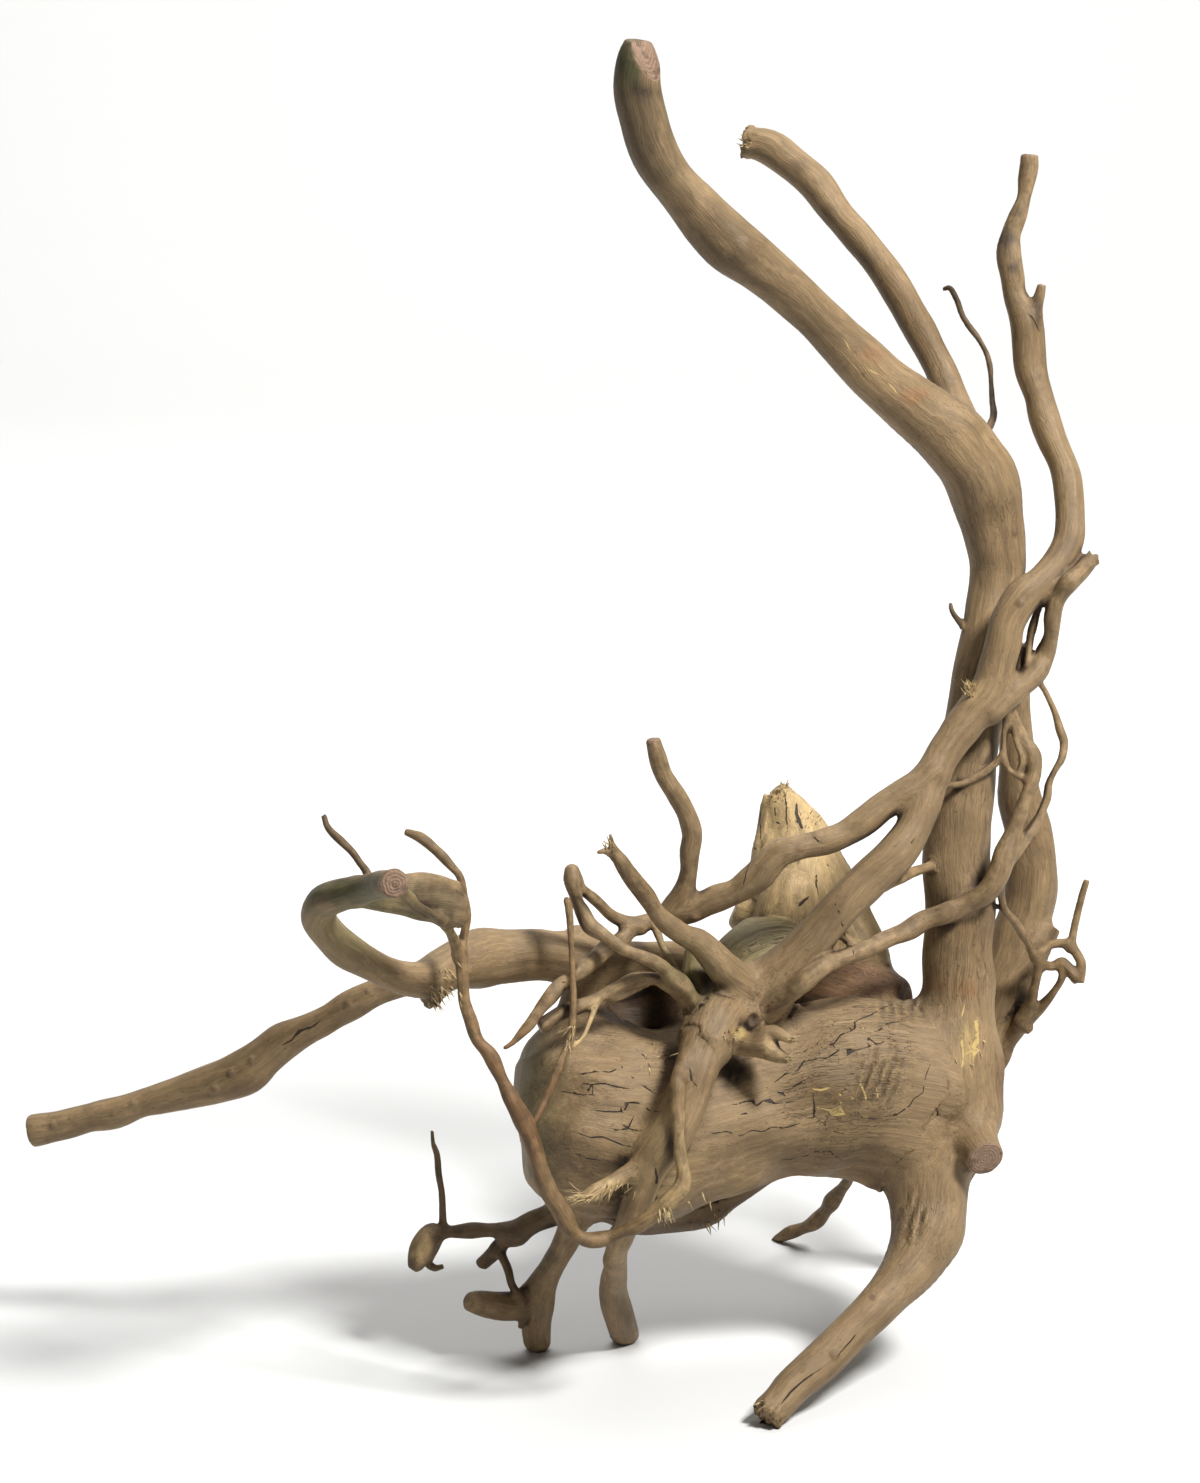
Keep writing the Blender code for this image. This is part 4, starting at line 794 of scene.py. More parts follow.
class Limb:
    """One branch as a smooth curve with radii, and a frame carried along it without twist."""

    def __init__(self, name: str, points: Sequence[Point]) -> None:
        """Lays the curve.

        Args:
            name: The limb's name in ROUTES.
            points: The route's points on the sheet, with drawn radii.
        """
        self.name = name
        self.centres, self.radii = self._smooth(points)
        self.steps = np.diff(self.centres, axis=0)
        self.lengths = np.linalg.norm(self.steps, axis=1)
        self.run = np.concatenate([[0.0], np.cumsum(self.lengths)])
        self.sides, self.uprights = self._carry_frame()
        self.rim = LOG_RIM if name == "log" else RIM_SHARE * self.radii[-1]
        self.tint = np.array(LIMB_TINTS.get(name, Tint.TAN).value)
        self.end_steps = len(self.steps) if name == "log" else STEPS_PER_SPAN
        self.fillet_limit = CREASED_WIDTH if name in CREASED_LIMBS else math.inf
        self.sawn = name in SAWN_LIMBS
        self.torn = name in TORN_LIMBS

    @staticmethod
    def _smooth(points: Sequence[Point]) -> tuple[np.ndarray, np.ndarray]:
        """Runs a smooth curve through the route.

        Args:
            points: The route's points on the sheet, with drawn radii.

        Returns:
            Centres and radii in millimetres.
        """
        knots = np.array([
            [*Sheet.to_space(*point[:3]), point[3] * (1.0 + point[2] / EYE_DISTANCE)] for point in points
        ])
        padded = np.vstack([2 * knots[0] - knots[1], knots, 2 * knots[-1] - knots[-2]])
        share = np.linspace(0, 1, STEPS_PER_SPAN, endpoint=False)[:, None]
        spans = []
        for before, start, end, after in zip(padded, padded[1:], padded[2:], padded[3:]):
            tangent_in = (end - before) / 2
            tangent_out = (after - start) / 2
            spans.append(
                start * (2 * share**3 - 3 * share**2 + 1)
                + tangent_in * (share**3 - 2 * share**2 + share)
                + end * (3 * share**2 - 2 * share**3)
                + tangent_out * (share**3 - share**2)
            )
        path = np.vstack([*spans, knots[-1:]])
        return path[:, :3], path[:, 3]

    def _carry_frame(self) -> tuple[np.ndarray, np.ndarray]:
        """Carries two unit vectors across the limb along it.

        Returns:
            The side and upright vectors at each centre.
        """
        tangents = np.gradient(self.centres, axis=0)
        tangents /= np.linalg.norm(tangents, axis=1)[:, None]
        side = Vector(tangents[0]).orthogonal().normalized()
        sides = []
        for tangent in tangents:
            side = (side - Vector(tangent) * side.dot(Vector(tangent))).normalized()
            sides.append(side)
        return np.array(sides), np.cross(tangents, np.array(sides))

    def near(self, points: np.ndarray) -> np.ndarray:
        """Picks the points that may lie near the limb.

        Args:
            points: Places in millimetres.

        Returns:
            The rows of those points.
        """
        margin = self.radii.max() + REACH / 2
        low, high = self.centres.min(0) - margin, self.centres.max(0) + margin
        return np.flatnonzero(np.all((points > low) & (points < high), axis=1))

    def foot(self, points: np.ndarray, everywhere: bool = False) -> Footing:
        """Finds the nearest place on the limb for each point, by gap to the limb's skin.

        Args:
            points: Places in millimetres.
            everywhere: Whether far points are measured too.

        Returns:
            The footing of each point. Far points keep an infinite gap.
        """
        footing = Footing(
            np.zeros(len(points), int), np.zeros(len(points)), np.full(len(points), np.inf)
        )
        for first in range(0, len(self.steps), SECTION):
            last = min(first + SECTION, len(self.steps))
            rows = np.arange(len(points))
            if not everywhere:
                margin = self.radii[first:last + 1].max() + REACH / 2
                low = self.centres[first:last + 1].min(0) - margin
                high = self.centres[first:last + 1].max(0) + margin
                rows = np.flatnonzero(np.all((points > low) & (points < high), axis=1))
            if not len(rows):
                continue
            starts, steps = self.centres[first:last], self.steps[first:last]
            offset = points[rows][:, None] - starts
            share = np.clip(np.einsum("pij,ij->pi", offset, steps) / self.lengths[first:last] ** 2, 0, 1)
            offset -= share[..., None] * steps
            radius = self.radii[first:last] + share * np.diff(self.radii[first:last + 1])
            gap = np.sqrt(np.einsum("pij,pij->pi", offset, offset)) - radius
            best = gap.argmin(axis=1)
            picked = np.arange(len(rows))
            better = gap[picked, best] < footing.gap[rows]
            rows, best, picked = rows[better], best[better], picked[better]
            footing.segment[rows] = first + best
            footing.share[rows] = share[picked, best]
            footing.gap[rows] = gap[picked, best]
        return footing

    def grain(self, points: np.ndarray, footing: Footing) -> np.ndarray:
        """Finds the points' coordinates along and across the limb.

        Args:
            points: Places in millimetres.
            footing: Their footing on this limb.

        Returns:
            Rows of run along the limb, side offset and upright offset.
        """
        segment, share = footing.segment, footing.share[:, None]
        offset = points - self.centres[segment] - share * self.steps[segment]
        side = self.sides[segment] * (1 - share) + self.sides[segment + 1] * share
        upright = self.uprights[segment] * (1 - share) + self.uprights[segment + 1] * share
        run = self.run[segment] + footing.share * self.lengths[segment]
        past = np.maximum(self.past_end(points, footing), 0)
        return np.column_stack([
            run + past, np.einsum("ij,ij->i", offset, side), np.einsum("ij,ij->i", offset, upright)
        ])

    def past_end(self, points: np.ndarray, footing: Footing) -> np.ndarray:
        """Measures how far points are past the plane of the limb's outer end.

        Args:
            points: Places in millimetres.
            footing: Their footing on this limb.

        Returns:
            The distance, far below zero where the end isn't near.
        """
        past = (points - self.centres[-1]) @ self.steps[-1] / self.lengths[-1]
        return np.where(footing.segment >= len(self.steps) - self.end_steps, past, -2 * REACH)

    def distance(self, points: np.ndarray, footing: Footing) -> tuple[np.ndarray, np.ndarray]:
        """Measures the points' distance outside the limb, which ends in a flat face with a worn rim.

        Args:
            points: Places in millimetres.
            footing: Their footing on this limb.

        Returns:
            The distance, and the limb's radius beside each point.
        """
        segment = footing.segment
        radius = self.radii[segment] + footing.share * np.diff(self.radii)[segment]
        reach = footing.gap + radius
        past = self.past_end(points, footing)
        side = np.sqrt(np.maximum(reach**2 - np.maximum(past, 0) ** 2, 0)) - radius
        outside = np.hypot(np.maximum(side + self.rim, 0), np.maximum(past + self.rim, 0))
        inside = np.minimum(np.maximum(side, past) + self.rim, 0)
        return outside + inside - self.rim, radius


@dataclass
class Sample:
    """What the wood is like at each point: the two nearest limbs, and the grain of the nearest.

    The limits are one for each limb: how wide a fillet it takes.
    """

    limits: np.ndarray
    distance: np.ndarray
    second_distance: np.ndarray
    radius: np.ndarray
    second_radius: np.ndarray
    limb: np.ndarray
    second_limb: np.ndarray
    grain: np.ndarray
    past: np.ndarray

    @property
    def width(self) -> np.ndarray:
        """The width of the fillet between the two nearest limbs."""
        limit = np.minimum(self.limits[self.limb], self.limits[self.second_limb])
        return np.minimum(FILLET_SHARE * np.minimum(self.radius, self.second_radius), limit)

    @property
    def blend(self) -> np.ndarray:
        """How much the second limb shows: 0 away from it, 0.5 on the seam."""
        gap = self.second_distance - self.distance
        return 0.5 * np.clip(1 - gap / self.width, 0, 1)

    @property
    def fillet(self) -> np.ndarray:
        """How far the skin stands out in the fillet."""
        return (2 * self.blend) ** 2 * self.width / 4


class Wood:
    """The whole root as a field: where its skin is, and which way its grain runs."""

    # How far the relief stands out, as shares of a limb's radius
    FLUTE_SHARE = 0.022
    DIMPLE_SHARE = 0.012
    KNOB_SHARE = 0.34
    SHRED_SHARE = 0.32

    # The same in millimetres
    FURROW_HEIGHT = 0.07
    FOLD_HEIGHT = 0.55
    SPLIT_HEIGHT = 0.6

    def __init__(self) -> None:
        """Lays every limb and the long lumps of grown wood."""
        self.limbs = [Limb(name, points) for name, points in ROUTES.items()]
        self.limits = np.array([limb.fillet_limit for limb in self.limbs])
        random = np.random.default_rng(LUMP_SEED)
        self.waves: list[tuple[float, list[tuple[np.ndarray, float]]]] = []
        for length, height in LUMPS:
            waves = []
            for _ in range(WAVES_PER_LUMP):
                direction = random.normal(size=3)
                direction *= 2 * math.pi / (length * np.linalg.norm(direction))
                waves.append((direction, random.uniform(0, 2 * math.pi)))
            self.waves.append((height, waves))

    def sample(self, points: np.ndarray) -> Sample:
        """Measures the wood at each point.

        Args:
            points: Places in millimetres.

        Returns:
            The sample.
        """
        count = len(points)
        found = Sample(
            self.limits, np.full(count, REACH), np.full(count, REACH), np.ones(count), np.ones(count),
            np.zeros(count, int), np.zeros(count, int), np.zeros((count, 3)), np.full(count, -2 * REACH),
        )
        for number, limb in enumerate(self.limbs):
            rows = limb.near(points)
            if not len(rows):
                continue
            places = points[rows]
            footing = limb.foot(places)
            close = np.isfinite(footing.gap)
            rows, places = rows[close], places[close]
            footing = Footing(footing.segment[close], footing.share[close], footing.gap[close])
            distance, radius = limb.distance(places, footing)
            first = distance < found.distance[rows]
            demoted = rows[first]
            found.second_distance[demoted] = found.distance[demoted]
            found.second_radius[demoted] = found.radius[demoted]
            found.second_limb[demoted] = found.limb[demoted]
            found.distance[demoted] = distance[first]
            found.radius[demoted] = radius[first]
            found.limb[demoted] = number
            nearest = Footing(footing.segment[first], footing.share[first], footing.gap[first])
            found.grain[demoted] = limb.grain(places[first], nearest)
            found.past[demoted] = limb.past_end(places[first], nearest)
            second = ~first & (distance < found.second_distance[rows])
            found.second_distance[rows[second]] = distance[second]
            found.second_radius[rows[second]] = radius[second]
            found.second_limb[rows[second]] = number
        return found

    def lumps(self, points: np.ndarray, sample: Sample) -> np.ndarray:
        """Measures how far the grown lumps stand out.

        Args:
            points: Places in millimetres.
            sample: The wood there.

        Returns:
            The height in millimetres.
        """
        height = np.zeros(len(points))
        for share, waves in self.waves:
            wave = sum(np.sin(points @ direction + turn) for direction, turn in waves)
            height += share * wave / math.sqrt(WAVES_PER_LUMP)
        return height * sample.radius

    def relief(self, points: np.ndarray, sample: Sample) -> np.ndarray:
        """Measures the furrows along the grain and the rough torn ends.

        Args:
            points: Places in millimetres.
            sample: The wood there.

        Returns:
            The height in millimetres.
        """
        size = np.maximum(sample.radius, 1.2)
        calm = 1 - 1.6 * sample.blend
        drift = 0.6 * lattice_noise(points / 31.0, 5)
        flutes = self._grain_noise(sample, 46, 0.55 * size, 1, drift)
        furrows = self._grain_noise(sample, 24, 2.6, 2, 2 * drift)
        dimples = lattice_noise(points / 7.5, 3)
        knobs = self._grain_noise(sample, 8.5, 2 * size, 13)
        thin = smooth_step(7.0, 2.5, size)
        height = self.FLUTE_SHARE * size * flutes + self.DIMPLE_SHARE * np.minimum(size, 20) * dimples
        height += thin * self.KNOB_SHARE * size * knobs
        height += self.FURROW_HEIGHT * np.minimum(size / 8, 1) * furrows
        height *= calm
        heavy = np.isin(sample.limb, self.numbers("log", "back_lump", "end_slab", "under_shelf"))
        folds = self._grain_noise(sample, 38, 7.5, 7, 2.4 * drift)
        height += np.where(heavy, self.FOLD_HEIGHT * (0.5 - np.abs(folds)) * calm, 0)
        snag = np.isin(sample.limb, self.numbers("snag_middle", "snag_left", "snag_right"))
        splits = self._grain_noise(sample, 40, 3.4, 9)
        height += np.where(snag, self.SPLIT_HEIGHT * splits, 0)
        torn = np.isin(sample.limb, [i for i, limb in enumerate(self.limbs) if limb.torn])
        near_end = smooth_step(-1.1, -0.1, sample.past / size)
        shreds = self._grain_noise(sample, 3.0, 1.3, 11)
        height += np.where(torn, near_end * self.SHRED_SHARE * np.minimum(size, 7) * shreds, 0)
        return height

    @staticmethod
    def _grain_noise(
        sample: Sample, length: float, width: np.ndarray | float, seed: int, drift: np.ndarray | float = 0.0
    ) -> np.ndarray:
        """Measures noise that is stretched along the grain.

        Args:
            sample: The wood at each point.
            length: The noise's length along the grain, in millimetres.
            width: Its width across the grain.
            seed: Chooses the noise.
            drift: How far it is shifted sideways, in widths.

        Returns:
            A value from -1 to 1 for each point.
        """
        run, side, upright = sample.grain.T
        return lattice_noise(np.column_stack([run / length, side / width + drift, upright / width]), seed)

    def numbers(self, *names: str) -> list[int]:
        """Looks limbs up by name.

        Args:
            names: Names in ROUTES.

        Returns:
            Their numbers.
        """
        return [number for number, limb in enumerate(self.limbs) if limb.name in names]

    def field(self, points: np.ndarray, relief: float) -> np.ndarray:
        """Measures the distance outside the finished skin.

        Args:
            points: Places in millimetres.
            relief: How much of the relief to count, 0 or 1.

        Returns:
            The distance in millimetres.
        """
        sample = self.sample(points)
        skin = sample.distance - sample.fillet - self.lumps(points, sample)
        if relief:
            skin -= relief * self.relief(points, sample)
        return skin


class RootMesh:
    """Builds the detailed root mesh."""

    def __init__(self, wood: Wood) -> None:
        """Starts with swept limbs.

        Args:
            wood: The field to follow.
        """
        self.wood = wood
        soup = bmesh.new()
        for limb in wood.limbs:
            self._sweep(soup, limb)
        mesh = bpy.data.meshes.new("root_wood")
        soup.to_mesh(mesh)
        soup.free()
        self.object = bpy.data.objects.new("root_wood", mesh)
        bpy.context.scene.collection.objects.link(self.object)

    @staticmethod
    def _sweep(soup: bmesh.types.BMesh, limb: Limb) -> None:
        """Adds one closed round limb.

        Args:
            soup: The mesh to add to.
            limb: The limb.
        """
        turns = [2 * math.pi * step / RING_SIDES for step in range(RING_SIDES)]
        into_rim = np.maximum(limb.rim - (limb.run[-1] - limb.run), 0)
        worn = limb.radii - limb.rim + np.sqrt(limb.rim**2 - into_rim**2)
        rings = [
            [soup.verts.new(c + r * (math.cos(a) * s + math.sin(a) * u)) for a in turns]
            for c, r, s, u in zip(limb.centres, worn, limb.sides, limb.uprights)
        ]
        for low, high in zip(rings, rings[1:]):
            for i in range(RING_SIDES):
                j = (i + 1) % RING_SIDES
                soup.faces.new((low[i], low[j], high[j], high[i]))
        soup.faces.new(rings[0][::-1])
        soup.faces.new(rings[-1])

    def _apply(self, modifier: bpy.types.Modifier) -> None:
        """Bakes a modifier into the mesh.

        Args:
            modifier: The modifier, which is then removed.
        """
        graph = bpy.context.evaluated_depsgraph_get()
        finished = bpy.data.meshes.new_from_object(self.object.evaluated_get(graph))
        self.object.modifiers.remove(modifier)
        old = self.object.data
        self.object.data = finished
        bpy.data.meshes.remove(old)

    def melt(self, voxel: float) -> None:
        """Melts everything into one skin.

        Args:
            voxel: The grid's cell size in millimetres.
        """
        remesh = self.object.modifiers.new("melt", "REMESH")
        remesh.mode = "VOXEL"
        remesh.voxel_size = voxel
        self._apply(remesh)

    def arrays(self) -> tuple[np.ndarray, np.ndarray]:
        """Reads the vertices.

        Returns:
            Places and normals, one row each.
        """
        mesh = self.object.data
        places = np.empty(len(mesh.vertices) * 3, np.float32)
        normals = np.empty_like(places)
        mesh.vertices.foreach_get("co", places)
        mesh.vertices.foreach_get("normal", normals)
        return places.reshape(-1, 3).astype(float), normals.reshape(-1, 3).astype(float)

    def move(self, places: np.ndarray) -> None:
        """Writes the vertices back.

        Args:
            places: The new places.
        """
        self.object.data.vertices.foreach_set("co", places.astype(np.float32).ravel())
        self.object.data.update()

    def fit(self, rounds: int, relief: float) -> None:
        """Moves the mesh onto the wood's skin.

        Args:
            rounds: How many times to move it.
            relief: How much of the relief to follow.
        """
        for _ in range(rounds):
            places, normals = self.arrays()
            steps = np.clip(self.wood.field(places, relief), -FIT_STEP, FIT_STEP)
            self.move(places - steps[:, None] * normals)

    def saw(self, middle: Vector, facing: Vector, reach: float) -> None:
        """Cuts off what lies past a plane and closes the cut.

        Args:
            middle: A point of the plane, in millimetres.
            facing: The side that is cut off.
            reach: How far from the middle the saw cuts.
        """
        shape = bmesh.new()
        shape.from_mesh(self.object.data)
        faces = [face for face in shape.faces if (face.calc_center_median() - middle).length < reach]
        verts = {vert for face in faces for vert in face.verts}
        edges = {edge for face in faces for edge in face.edges}
        cut = bmesh.ops.bisect_plane(
            shape, geom=[*verts, *edges, *faces], plane_co=middle, plane_no=facing, clear_outer=True
        )
        rims = [item for item in cut["geom_cut"] if isinstance(item, bmesh.types.BMEdge)]
        bmesh.ops.edgenet_fill(shape, edges=rims)
        shape.to_mesh(self.object.data)
        shape.free()

    def soften(self, across: float, up: float, reach: float, rounds: int = 14) -> None:
        """Smooths the skin round one spot.

        Args:
            across: The spot's place across the sheet.
            up: Its place up the sheet.
            reach: How far the smoothing goes, in millimetres.
            rounds: How many times each vertex moves towards its neighbours' middle.
        """
        places, normals = self.arrays()
        middle = places[Marks(places, normals).on_skin(across, up)]
        near = np.flatnonzero(np.linalg.norm(places - middle, axis=1) < reach)
        shape = bmesh.new()
        shape.from_mesh(self.object.data)
        shape.verts.ensure_lookup_table()
        for _ in range(rounds):
            bmesh.ops.smooth_vert(
                shape, verts=[shape.verts[row] for row in near], factor=0.5,
                use_axis_x=True, use_axis_y=True, use_axis_z=True,
            )
        shape.to_mesh(self.object.data)
        shape.free()

    def wear_feet(self, height: float = 3.6, depth: float = 1.7) -> None:
        """Rounds the skin in towards the floor.

        Args:
            height: How far up the wear goes, in millimetres.
            depth: How far the skin goes in at the floor.
        """
        places, normals = self.arrays()
        normals[:, 2] = 0
        normals /= np.maximum(np.linalg.norm(normals, axis=1), 0.3)[:, None]
        wear = depth * np.clip(1 - places[:, 2] / height, 0, 1) ** 2
        self.move(places - wear[:, None] * normals)

    def keep_within(self, box: Sequence[Sequence[float]]) -> None:
        """Holds the skin inside a box.

        Args:
            box: Its low and high corners, in metres.
        """
        places, _ = self.arrays()
        low, high = (np.array(corner) / MM for corner in box)
        self.move(np.clip(places, low, high))

    def thin(self, limit: int) -> None:
        """Reduces the mesh to a number of triangles.

        Args:
            limit: The number.
        """
        count = sum(len(face.vertices) - 2 for face in self.object.data.polygons)
        if count <= limit:
            return
        thin = self.object.modifiers.new("thin", "DECIMATE")
        thin.ratio = limit / count
        thin.use_collapse_triangulate = True
        self._apply(thin)

    def finish(self) -> None:
        """Triangulates the mesh, smooths its shading and turns it to metres."""
        shape = bmesh.new()
        shape.from_mesh(self.object.data)
        bmesh.ops.triangulate(shape, faces=shape.faces[:])
        bmesh.ops.recalc_face_normals(shape, faces=shape.faces)
        shape.to_mesh(self.object.data)
        shape.free()
        places, _ = self.arrays()
        self.move(places * MM)
        self.object.data.shade_smooth()


class Marks:
    """Knots, cracks, blotches and ripples, set on the skin that the front drawing shows."""

    DEPTH = 14.0
    CRACK_REACH = 3.0
    NO_CRACK = (9.0, -2.0)
    CLOSE = 1.2
    CANDIDATES = 24
    FACING = -0.05

    def __init__(self, places: np.ndarray, normals: np.ndarray) -> None:
        """Lays the skin out on the sheet.

        Args:
            places: The skin's vertices in millimetres.
            normals: Their normals.
        """
        self.places = places
        self.normals = normals
        self.drawn = Sheet.to_sheet(places)
        facing = np.flatnonzero(normals @ EYE_FORWARD < self.FACING)
        self.tree = KDTree(len(facing))
        for row in facing:
            across, up, _ = self.drawn[row]
            self.tree.insert((across, up, 0.0), int(row))
        self.tree.balance()

    def on_skin(self, across: float, up: float) -> int:
        """Finds the foremost vertex at a place on the sheet.

        Args:
            across: Millimetres to the right on the sheet.
            up: Millimetres up the sheet.

        Returns:
            The vertex.
        """
        found = self.tree.find_n((across, up, 0.0), self.CANDIDATES)
        limit = max(self.CLOSE, found[0][2] * 1.5)
        rows = [row for _, row, distance in found if distance <= limit]
        return min(rows, key=lambda row: self.drawn[row, 2])

    def inside(self, spot: Patch | Ripple) -> np.ndarray:
        """Measures how far inside a blotch or a rippled spot each vertex is.

        Args:
            spot: The blotch or the rippled spot.

        Returns:
            1 at its middle, 0 outside it and on other layers.
        """
        back = self.drawn[self.on_skin(spot.across, spot.up), 2]
        offset = (self.drawn[:, :2] - (spot.across, spot.up)) / (spot.half_width, spot.half_height)
        ragged = 0.35 * lattice_noise(self.places / 3.1, 21)
        inside = smooth_step(1.15, 0.35, np.hypot(*offset.T) + ragged)
        depth = np.abs(self.drawn[:, 2] - back)
        reach = max(self.DEPTH, spot.half_width)
        return inside * smooth_step(1.4 * reach, reach, depth)

    def relief(self) -> np.ndarray:
        """Measures how far the knots stand out of the skin, each with a sunken ring round it.

        Returns:
            The height at each vertex, in millimetres.
        """
        height = np.zeros(len(self.places))
        for knot in KNOTS:
            share = self._gap_to(knot) / knot.radius
            height += knot.height * (np.exp(-share**2) - 0.35 * np.exp(-((share - 1.25) / 0.3) ** 2))
        return height

    def _gap_to(self, knot: Knot) -> np.ndarray:
        """Measures the distance to a knot's eye.

        Args:
            knot: The knot.

        Returns:
            The distance of each vertex, in millimetres.
        """
        eye = self.places[self.on_skin(knot.across, knot.up)]
        return np.linalg.norm(self.places - eye, axis=1)

    def curl(self) -> np.ndarray:
        """Measures how curly the grain is.

        Returns:
            1 in the middle of a rippled patch, 0 outside.
        """
        return np.max([self.inside(ripple) for ripple in RIPPLES], axis=0)

    def knots(self) -> np.ndarray:
        """Measures nearness to the knots.

        Returns:
            Rows of nearness, from 1 at the eye to 0 at twice the radius, and darkness.
        """
        nearness = np.zeros((len(self.places), 2))
        for knot in KNOTS:
            near = np.clip(1 - self._gap_to(knot) / (2 * knot.radius), 0, 1)
            closer = near > nearness[:, 0]
            nearness[closer, 0] = near[closer]
            nearness[closer, 1] = knot.darkness
        return nearness

    def cracks(self, cracks: Sequence[Crack]) -> np.ndarray:
        """Measures the signed offset from the nearest crack and its half-width there.

        Args:
            cracks: The cracks to measure against.

        Returns:
            Rows of offset and half-width, in millimetres. The half-width is negative past a crack's ends.
        """
        result = np.tile(self.NO_CRACK, (len(self.places), 1))
        reach = np.full(len(self.places), self.CRACK_REACH)
        for crack in cracks:
            rows = [self.on_skin(*point) for point in self._along(crack.points)]
            path = self.places[rows]
            total = len(path) - 1
            for i, (start, end) in enumerate(zip(path, path[1:])):
                step = end - start
                length = np.linalg.norm(step)
                if length < 1e-6:
                    continue
                offset = self.places - start
                share = offset @ step / length**2
                foot = offset - np.clip(share, 0, 1)[:, None] * step
                gap = np.linalg.norm(foot, axis=1)
                near = np.flatnonzero(gap < reach)
                reach[near] = gap[near]
                side = np.cross(step / length, self.normals[near])
                along = (i + share[near]) / total
                result[near, 0] = np.einsum("ij,ij->i", offset[near], side)
                taper = 1.15 * np.sqrt(np.clip(4 * along * (1 - along), 0, 1)) - 0.15
                fade = 2 * smooth_step(0.25 * self.CRACK_REACH, 0.75 * self.CRACK_REACH, gap[near])
                result[near, 1] = crack.half_width * taper - fade
                past = (along < 0) | (along > 1)
                result[near[past], 1] = -0.3 - fade[past]
        return result

    @staticmethod
    def _along(points: Sequence[tuple[float, float]], spacing: float = 5.0) -> Iterator[tuple[float, float]]:
        """Steps along a polyline on the sheet.

        Args:
            points: The polyline.
            spacing: The step's length.

        Yields:
            Points on it, in order.
        """
        for start, end in zip(points, points[1:]):
            count = max(1, round(math.dist(start, end) / spacing))
            for step in range(count):
                share = step / count
                yield start[0] + share * (end[0] - start[0]), start[1] + share * (end[1] - start[1])
        yield points[-1]


